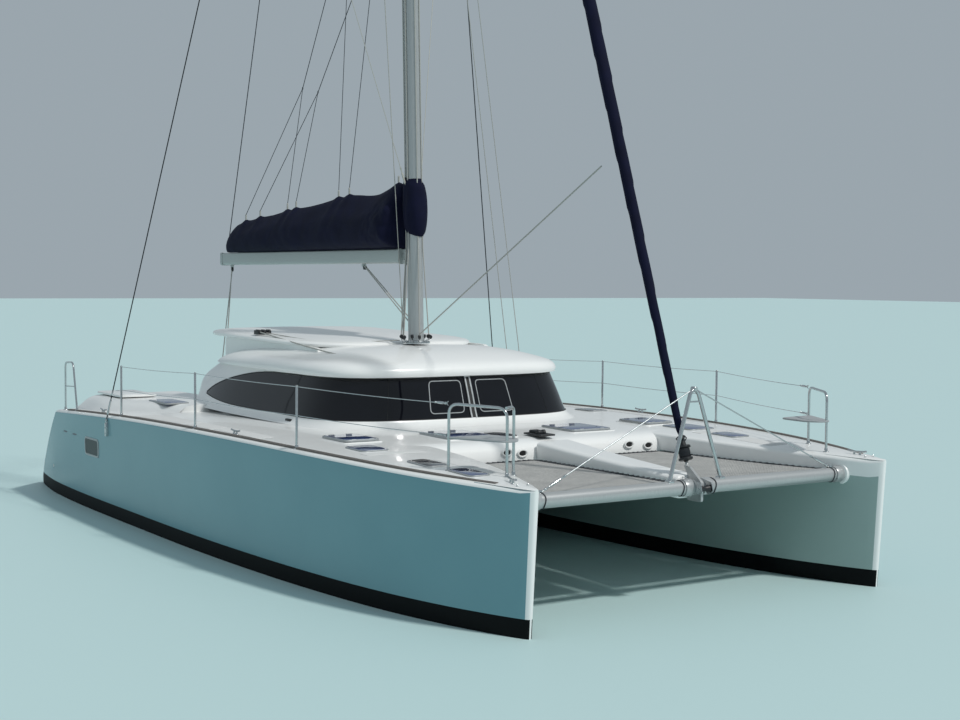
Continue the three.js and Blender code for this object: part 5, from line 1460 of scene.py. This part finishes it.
# Deck fittings: horn cleats at bow and stern and amidships, fairleads, an oval locker in the foredeck
# with the windlass, and rope holes with turned rims in the foredeck's front.
def cleat(name, x, y, z, turn):
    """A horn cleat on two feet, lengthwise or turned."""
    along = Vector((math.cos(turn), math.sin(turn), 0))
    middle = Vector((x, y, z))
    curve = ((-0.115, 0.052), (-0.085, 0.046), (0, 0.042), (0.085, 0.046), (0.115, 0.052))
    horns = [middle + along * d + Vector((0, 0, h)) for d, h in curve]
    parts = [sweep("horns", horns, 0.011, sides=14)]
    for d in (-0.035, 0.035):
        parts.append(turned("foot", middle + along * d, (0, 0, 1),
                            ((0, 0.022), (0.006, 0.02), (0.015, 0.012), (0.042, 0.010)), sides=18))
    return join(name, *parts)


for name, s in SIDES:
    parts = [cleat("cleat", 6.18, s * 2.36, sheer(6.18) + 0.01, 0.25 * s),
             cleat("cleat", 1.45, s * 3.10, sheer(1.45) + 0.012, 0),
             cleat("cleat", -3.1, s * 3.12, sheer(-3.1) + 0.01, 0)]
    for y in (2.30, 2.42):
        parts.append(turned("fairlead", (6.36, s * y, sheer(6.36)), (0, 0, 1),
                            ((0, 0.02), (0.006, 0.018), (0.012, 0.010), (0.03, 0.012), (0.036, 0.008)),
                            sides=16))
    fit(join(f"cleats_{name}", *parts), "boat", stainless, "steel")

OVAL_MIDDLE = Vector((3.02, -0.36, 0))
oval = []
for k in range(48):
    a = math.tau * k / 48
    oval.append(Vector((3.02 + 0.27 * math.cos(a), -0.36 + 0.17 * math.sin(a), 0)))


def oval_rings(rows):
    rings = []
    for z, grow in rows:
        rings.append([OVAL_MIDDLE + (p - OVAL_MIDDLE) * grow + Vector((0, 0, sheer(p.x) + z)) for p in oval])
    return rings


fit(loft("oval_locker_lid", oval_rings(((0.012, 0.97), (0.026, 0.97), (0.030, 0.93), (0.031, 0.6)))),
    "boat", grey_smoked, "smoked_acrylic")
rim_rows = ((0.008, 1.06), (0.022, 1.06), (0.027, 1.03), (0.027, 0.985), (0.012, 0.98))
fit(loft("oval_locker_rim", oval_rings(rim_rows)), "boat", gelcoat, "gelcoat")
parts = [soften(block("windlass_base", (3.16, -0.12, 1.53), (3.52, 0.10, 1.552)), 0.018, 4)]
parts.append(turned("windlass_gypsy", (3.40, -0.09, 1.565), (0, 1, 0),
                    ((0, 0.02), (0.008, 0.034), (0.03, 0.036), (0.04, 0.026), (0.07, 0.024),
                     (0.08, 0.034), (0.11, 0.036), (0.118, 0.02)), sides=32))
parts.append(soften(block("windlass_cover", (3.20, -0.07, 1.548), (3.36, 0.06, 1.585)), 0.016, 4))
fit(join("windlass", *parts), "boat", black_nylon, "wire")
ROPE_HOLES = ((-0.682, 1.385), (-0.463, 1.365), (1.124, 1.385), (1.425, 1.36))
parts = []
for y, z in ROPE_HOLES:
    ring = []
    for k in range(28):
        a = math.tau * k / 28
        height = z + 0.040 * math.sin(a)
        ring.append(Vector((3.645 - 0.05 * max(0, height - 1.40), y + 0.062 * math.cos(a), height)))
    parts.append(sweep("rim", ring, 0.011, closed=True, sides=10))
fit(join("rope_hole_rims", *parts), "boat", gelcoat, "gelcoat")
# A black disc in each hole is painted shade, the dark inside of the rope hole.
parts = []
for y, z in ROPE_HOLES:
    parts.append(turned("hole", (3.636, y, z), (1, 0, 0), ((0, 0.045), (0.010, 0.045), (0.011, 0.044)),
                        sides=28))
holes = join("rope_hole_shadows", *parts)
fit(holes, "boat", sealant_and_hole_shade, "wire")


# Hull windows: a fixed light in a grey frame in each topside, below the aft deck.
def side_point(x, z, s, out=0.0):
    """A point on the outer topside."""
    deck, water, depth = between(STATIONS, x)
    share = between(((BOOT_TOP, 0.85), (0.76, 0.45), (sheer(x) - 0.045, 0.0)), z)[0]
    return Vector((x, s * (HULL_Y + mix(deck, water, share) + out), z))


port_acrylic = grained("smoked_port_acrylic", "0a1216", "14242a", 6, 0.2, Specular_IOR_Level=0.2)
for name, s in SIDES:
    corners = [(-3.50, 0.80), (-2.92, 0.80), (-2.92, 1.04), (-3.50, 1.04)]
    outline = [(p.x, p.z) for p in rounded([(x, 0, z) for x, z in corners], 0.06, closed=True)]
    frame_path = [side_point(x, z, s, 0.001) for x, z in outline]
    flat = [(-0.016, -0.006), (0.016, -0.006), (0.014, 0.006), (-0.012, 0.008)]
    ring = sweep(f"hull_window_frame_{name}", frame_path, flat, closed=True, normal=(0, s, 0.05))
    fit(ring, "boat", grey_strip, "alloy")
    rings = [[side_point(x, z, s, out) for x, z in outline] for out in (-0.004, 0.0035)]
    pane = loft(f"hull_window_pane_{name}", rings)
    fit(pane, "boat", port_acrylic, "glass")
    drain = turned(f"topside_outlet_{name}", side_point(-5.3, 0.42, s, -0.006), (0, s, 0),
                   ((0, 0.022), (0.008, 0.026), (0.012, 0.022), (0.012, 0.012)), sides=20)
    fit(drain, "boat", stainless, "steel")


# A plain lozenge on each bow and a plain stripe at each quarter, in dark blue film.
film = grained("dark_blue_film", "1b2a3c", "22344a", 8, 0.3)
for name, s in SIDES:
    lozenge = [(5.62, 0.82), (5.69, 0.95), (5.62, 1.08), (5.55, 0.95)]
    stripe = [(-4.60, 1.02), (-3.95, 1.02), (-3.90, 1.045), (-4.57, 1.045)]
    marks = []
    for shape in (lozenge, stripe):
        skins = [[side_point(x, z, s, out) for x, z in shape] for out in (-0.001, 0.0015)]
        marks.append(loft("mark", skins))
    fit(join(f"plain_marks_{name}", *marks), "boat", film, "gelcoat", angle=0)


# Below the waterline: stub keels and spade rudders in matt black antifouling with its rolled texture,
# saildrives in grey paint, bronze propellers, and the painted engines that drive them.
antifouling = grained("rolled_antifouling", "101214", "22262a", 35, 0.9, 0.002)
bronze = grained("cast_bronze", "8a6a35", "b08b4c", 18, 0.35, 0.0008, Metallic=0.9)
engine_enamel = grained("engine_enamel", "30363c", "4b535a", 14, 0.4, 0.0008)
drive_paint = grained("grey_drive_paint", "7c8387", "9aa0a3", 20, 0.5, 0.0008)
for name, s in SIDES:
    finish_node(f"keel_{name}", antifouling)
    finish_node(f"rudder_{name}", antifouling)
    finish_node(f"saildrive_{name}", drive_paint)
    finish_node(f"propeller_{name}", bronze)
    finish_node(f"engine_{name}", engine_enamel)


# Cockpit and saloon seats: moulded lockers with loose foam cushions on them, in a woven cover with
# piped edges. One cushion is filled and let settle; the others are copies, cut to their places.
seat_cloth = canvas("grey_blue_seat_cloth", "5d6872", "7c8791")
piping = grained("cushion_piping", "3a434c", "4d5761", 60, 0.8, 0.001)


def pad_form(name, width, depth, thick):
    """A cushion before it is filled: crowned, its sides pulled in between the corners."""
    sections = []
    count = 24
    for k in range(count + 1):
        t = k / count
        x = -width / 2 + width * t
        pull = 0.010 * math.sin(math.pi * t)
        half = depth / 2 - pull
        crown = 0.012 * math.sin(math.pi * t)
        lift = 1 if 0 < k < count else 0.82
        ring = [(x, -half, -thick / 2 * lift), (x, half, -thick / 2 * lift), (x, half, thick / 2 * lift),
                (x, 0, thick / 2 * lift + crown), (x, -half, thick / 2 * lift)]
        sections.append(rounded(ring, 0.035, closed=True, steps=4))
    return loft(name, sections)


def fill_pad(pad):
    """Lets the cloth of a cushion swell over its foam, by less than fourteen millimetres."""
    before = [vertex.co.copy() for vertex in pad.data.vertices]
    deselect()
    pad.select_set(True)
    bpy.context.view_layer.objects.active = pad
    cloth = pad.modifiers.new("cloth", "CLOTH")
    cloth.settings.use_pressure = True
    cloth.settings.uniform_pressure_force = 4
    cloth.settings.effector_weights.gravity = 0
    cloth.settings.quality = 5
    for frame_number in range(1, 21):
        bpy.context.scene.frame_set(frame_number)
    bpy.ops.object.modifier_apply(modifier=cloth.name)
    bpy.context.scene.frame_set(1)
    for vertex, start_point in zip(pad.data.vertices, before):
        moved = vertex.co - start_point
        if moved.length > 0.014:
            vertex.co = start_point + moved.normalized() * 0.014


SEAT_W, SEAT_D, SEAT_T = 0.84, 0.53, 0.11
pattern = pad_form("seat_pad_pattern", SEAT_W, SEAT_D, SEAT_T)
apply(pattern, "REMESH", mode="VOXEL", voxel_size=0.010)
fill_pad(pattern)
edge_path = rounded([(-SEAT_W / 2, -SEAT_D / 2, 0), (SEAT_W / 2, -SEAT_D / 2, 0),
                     (SEAT_W / 2, SEAT_D / 2, 0), (-SEAT_W / 2, SEAT_D / 2, 0)], 0.04, closed=True)


def place_pad(name, middle, width, depth, turn=0.0):
    """A copy of the cushion and its piping, cut to a width and depth and laid in place."""
    pad = bpy.data.objects.new(name, pattern.data.copy())
    bpy.context.scene.collection.objects.link(pad)
    pulled = [Vector((p.x * 0.996, p.y * 0.985, 0.035)) for p in edge_path]
    cord = sweep(f"{name}_piping", pulled, 0.005, closed=True, sides=8)
    scale = Matrix.Diagonal((width / SEAT_W, depth / SEAT_D, 1, 1))
    for piece in (pad, cord):
        piece.data.transform(Matrix.Translation(Vector(middle)) @ Matrix.Rotation(turn, 4, "Z") @ scale)
    fit(pad, "boat", seat_cloth, "cushion", angle=60)
    fit(cord, "boat", piping, "cushion")


def rounded_block(name, low, high, body, material, slot, *nodes, width=0.02):
    return fit(soften(block(name, low, high), width, 4), body, material, slot, *nodes)


def seat_base(name, node, *boxes):
    """A moulded locker under the cushions, of two boxes that run into each other."""
    body_box, wing_box = [block("seat_box", low, high) for low, high in boxes]
    apply(body_box, "BOOLEAN", operation="UNION", solver="EXACT", object=wing_box)
    bpy.data.objects.remove(wing_box)
    body_box.name = name
    fit(soften(body_box, 0.018, 3), "boat", gelcoat, "gelcoat", node)


seat_base("cockpit_locker", "cockpit_bench", ((-4.798, -1.298, 0.851), (-4.24, 1.298, 1.165)),
          ((-4.3, -1.298, 0.851), (-2.90, -0.745, 1.165)))
for k in range(3):
    place_pad(f"cockpit_cushion_{k + 1}", (-4.52, -0.862 + 0.862 * k, 1.221), 0.85, 0.53, turn=math.pi / 2)
for k in range(2):
    place_pad(f"cockpit_cushion_{k + 4}", (-3.91 + 0.67 * k, -1.02, 1.221), 0.66, 0.53)
seat_base("saloon_locker", "saloon_settee", ((0.822, -0.248, 0.702), (1.378, 1.278, 1.015)),
          ((-0.898, 0.99, 0.702), (0.9, 1.278, 1.015)))
for k in range(2):
    place_pad(f"saloon_cushion_{k + 1}", (1.10, 0.135 + 0.76 * k, 1.071), 0.75, 0.53, turn=math.pi / 2)
for k in range(2):
    place_pad(f"saloon_cushion_{k + 3}", (-0.48 + 0.85 * k, 1.138, 1.071), 0.84, 0.27)
bpy.data.objects.remove(pattern)


# Tables and galley: oiled teak with rounded edges on tubular pedestals; the galley is a run of lockers with
# doors, drawn as plain panels without their frames, under a pale worktop.
teak, teak_shader = new_material("oiled_teak", "9a6a3c", 0.5)
place = add_node(teak, "ShaderNodeTexCoord").outputs["Object"]
along = add_node(teak, "ShaderNodeMapping", {"Vector": place, "Scale": (1.5, 22, 22)}).outputs["Vector"]
growth = add_node(teak, "ShaderNodeTexNoise", {"Vector": along, "Scale": 2.5, "Detail": 8.0,
                                               "Distortion": 0.6}).outputs["Fac"]
tone = add_node(teak, "ShaderNodeMix", {"Factor": growth, "A": linear("7c4f29"), "B": linear("b78a58")},
                data_type="RGBA").outputs["Result"]
teak.node_tree.links.new(tone, teak_shader.inputs["Base Color"])
bump = add_node(teak, "ShaderNodeBump", {"Height": growth, "Strength": 0.3,
                                         "Distance": 0.001}).outputs["Normal"]
teak.node_tree.links.new(bump, teak_shader.inputs["Normal"])
TABLES = (  # the top, its solid, the foot's place, then length, width and height
    ("cockpit_table_top", "cockpit_table", -3.75, -0.15, 0.851, 1.0, 0.7, 0.64),
    ("saloon_table_top", "saloon_table", 0.15, 0.45, 0.701, 1.1, 0.8, 0.69),
)
for name, node, x, y, z, length, width, height in TABLES:
    top = slab("top", (x - length / 2, y - width / 2, z + height - 0.035),
               (x + length / 2, y + width / 2, z + height), 0.08, 0.010)
    fit(top, "boat", teak, "joinery", node)
    top.name = name
    rows = ((0, 0.18), (0.008, 0.18), (0.016, 0.165), (0.022, 0.06), (0.03, 0.05), (height - 0.06, 0.05),
            (height - 0.05, 0.09), (height - 0.035, 0.10))
    fit(turned(f"{name}_pedestal", (x, y, z), (0, 0, 1), rows, sides=32), "boat", anodised, "alloy")
worktop = grained("pale_worktop", "b9b5ac", "d3d0c8", 60, 0.35)
rounded_block("galley_lockers", (-1.698, -1.294, 0.701), (0.898, -0.715, 1.54), "boat", teak, "joinery",
              "galley_unit", width=0.006)
rounded_block("galley_worktop", (-1.699, -1.295, 1.541), (0.899, -0.70, 1.579), "boat", worktop, "joinery",
              width=0.008)
parts = []
for k in range(5):
    x = -1.60 + 0.50 * k
    door = block("door", (x, -0.716, 0.78), (x + 0.44, -0.704, 1.48))
    parts.append(soften(door, 0.004, 2))
fit(join("galley_doors", *parts), "boat", teak, "joinery")
parts = [turned("pull", (-1.38 + 0.50 * k, -0.704, 1.40), (0, 1, 0),
                ((0, 0.012), (0.004, 0.016), (0.012, 0.010)), sides=16)
         for k in range(5)]
fit(join("galley_pulls", *parts), "boat", stainless, "steel")


# Helm: a steel wheel on a moulded console, with an instrument panel of three dials. The stitched grip,
# the compass and the engine lever of the real helm are left out.
HELM = Vector((-2.01, 0.9, 1.48))
hub = HELM + Vector((-0.31, 0, 0))
angles = [math.tau * k / 72 for k in range(72)]
rim = [hub + Vector((0, 0.33 * math.cos(a), 0.33 * math.sin(a))) for a in angles]
wheel = [sweep("wheel_rim", rim, 0.0135, closed=True, sides=14)]
for k in range(6):
    a = math.tau * k / 6
    direction = Vector((0, math.cos(a), math.sin(a)))
    wheel.append(sweep("spoke", [hub + direction * 0.03 + Vector((0.010, 0, 0)), hub + direction * 0.2,
                                 hub + direction * 0.322],
                       0.007, sides=10))
wheel.append(turned("wheel_hub", hub - Vector((0.025, 0, 0)), (1, 0, 0),
                    ((0, 0.02), (0.004, 0.032), (0.04, 0.034), (0.053, 0.028)), sides=28))
fit(join("wheel_rim_and_spokes", *wheel), "steering_wheel", stainless, "steel", "steering_wheel")
parts = [soften(block("panel", (-2.135, 0.70, 1.752), (-2.02, 1.10, 1.770)), 0.012, 3)]
for y in (0.80, 0.90, 1.00):
    parts.append(turned("dial", (-2.076, y, 1.766), (0, 0, 1),
                        ((0, 0.036), (0.010, 0.036), (0.012, 0.032), (0.008, 0.030)), sides=28))
fit(join("helm_instruments", *parts), "boat", black_nylon, "wire")
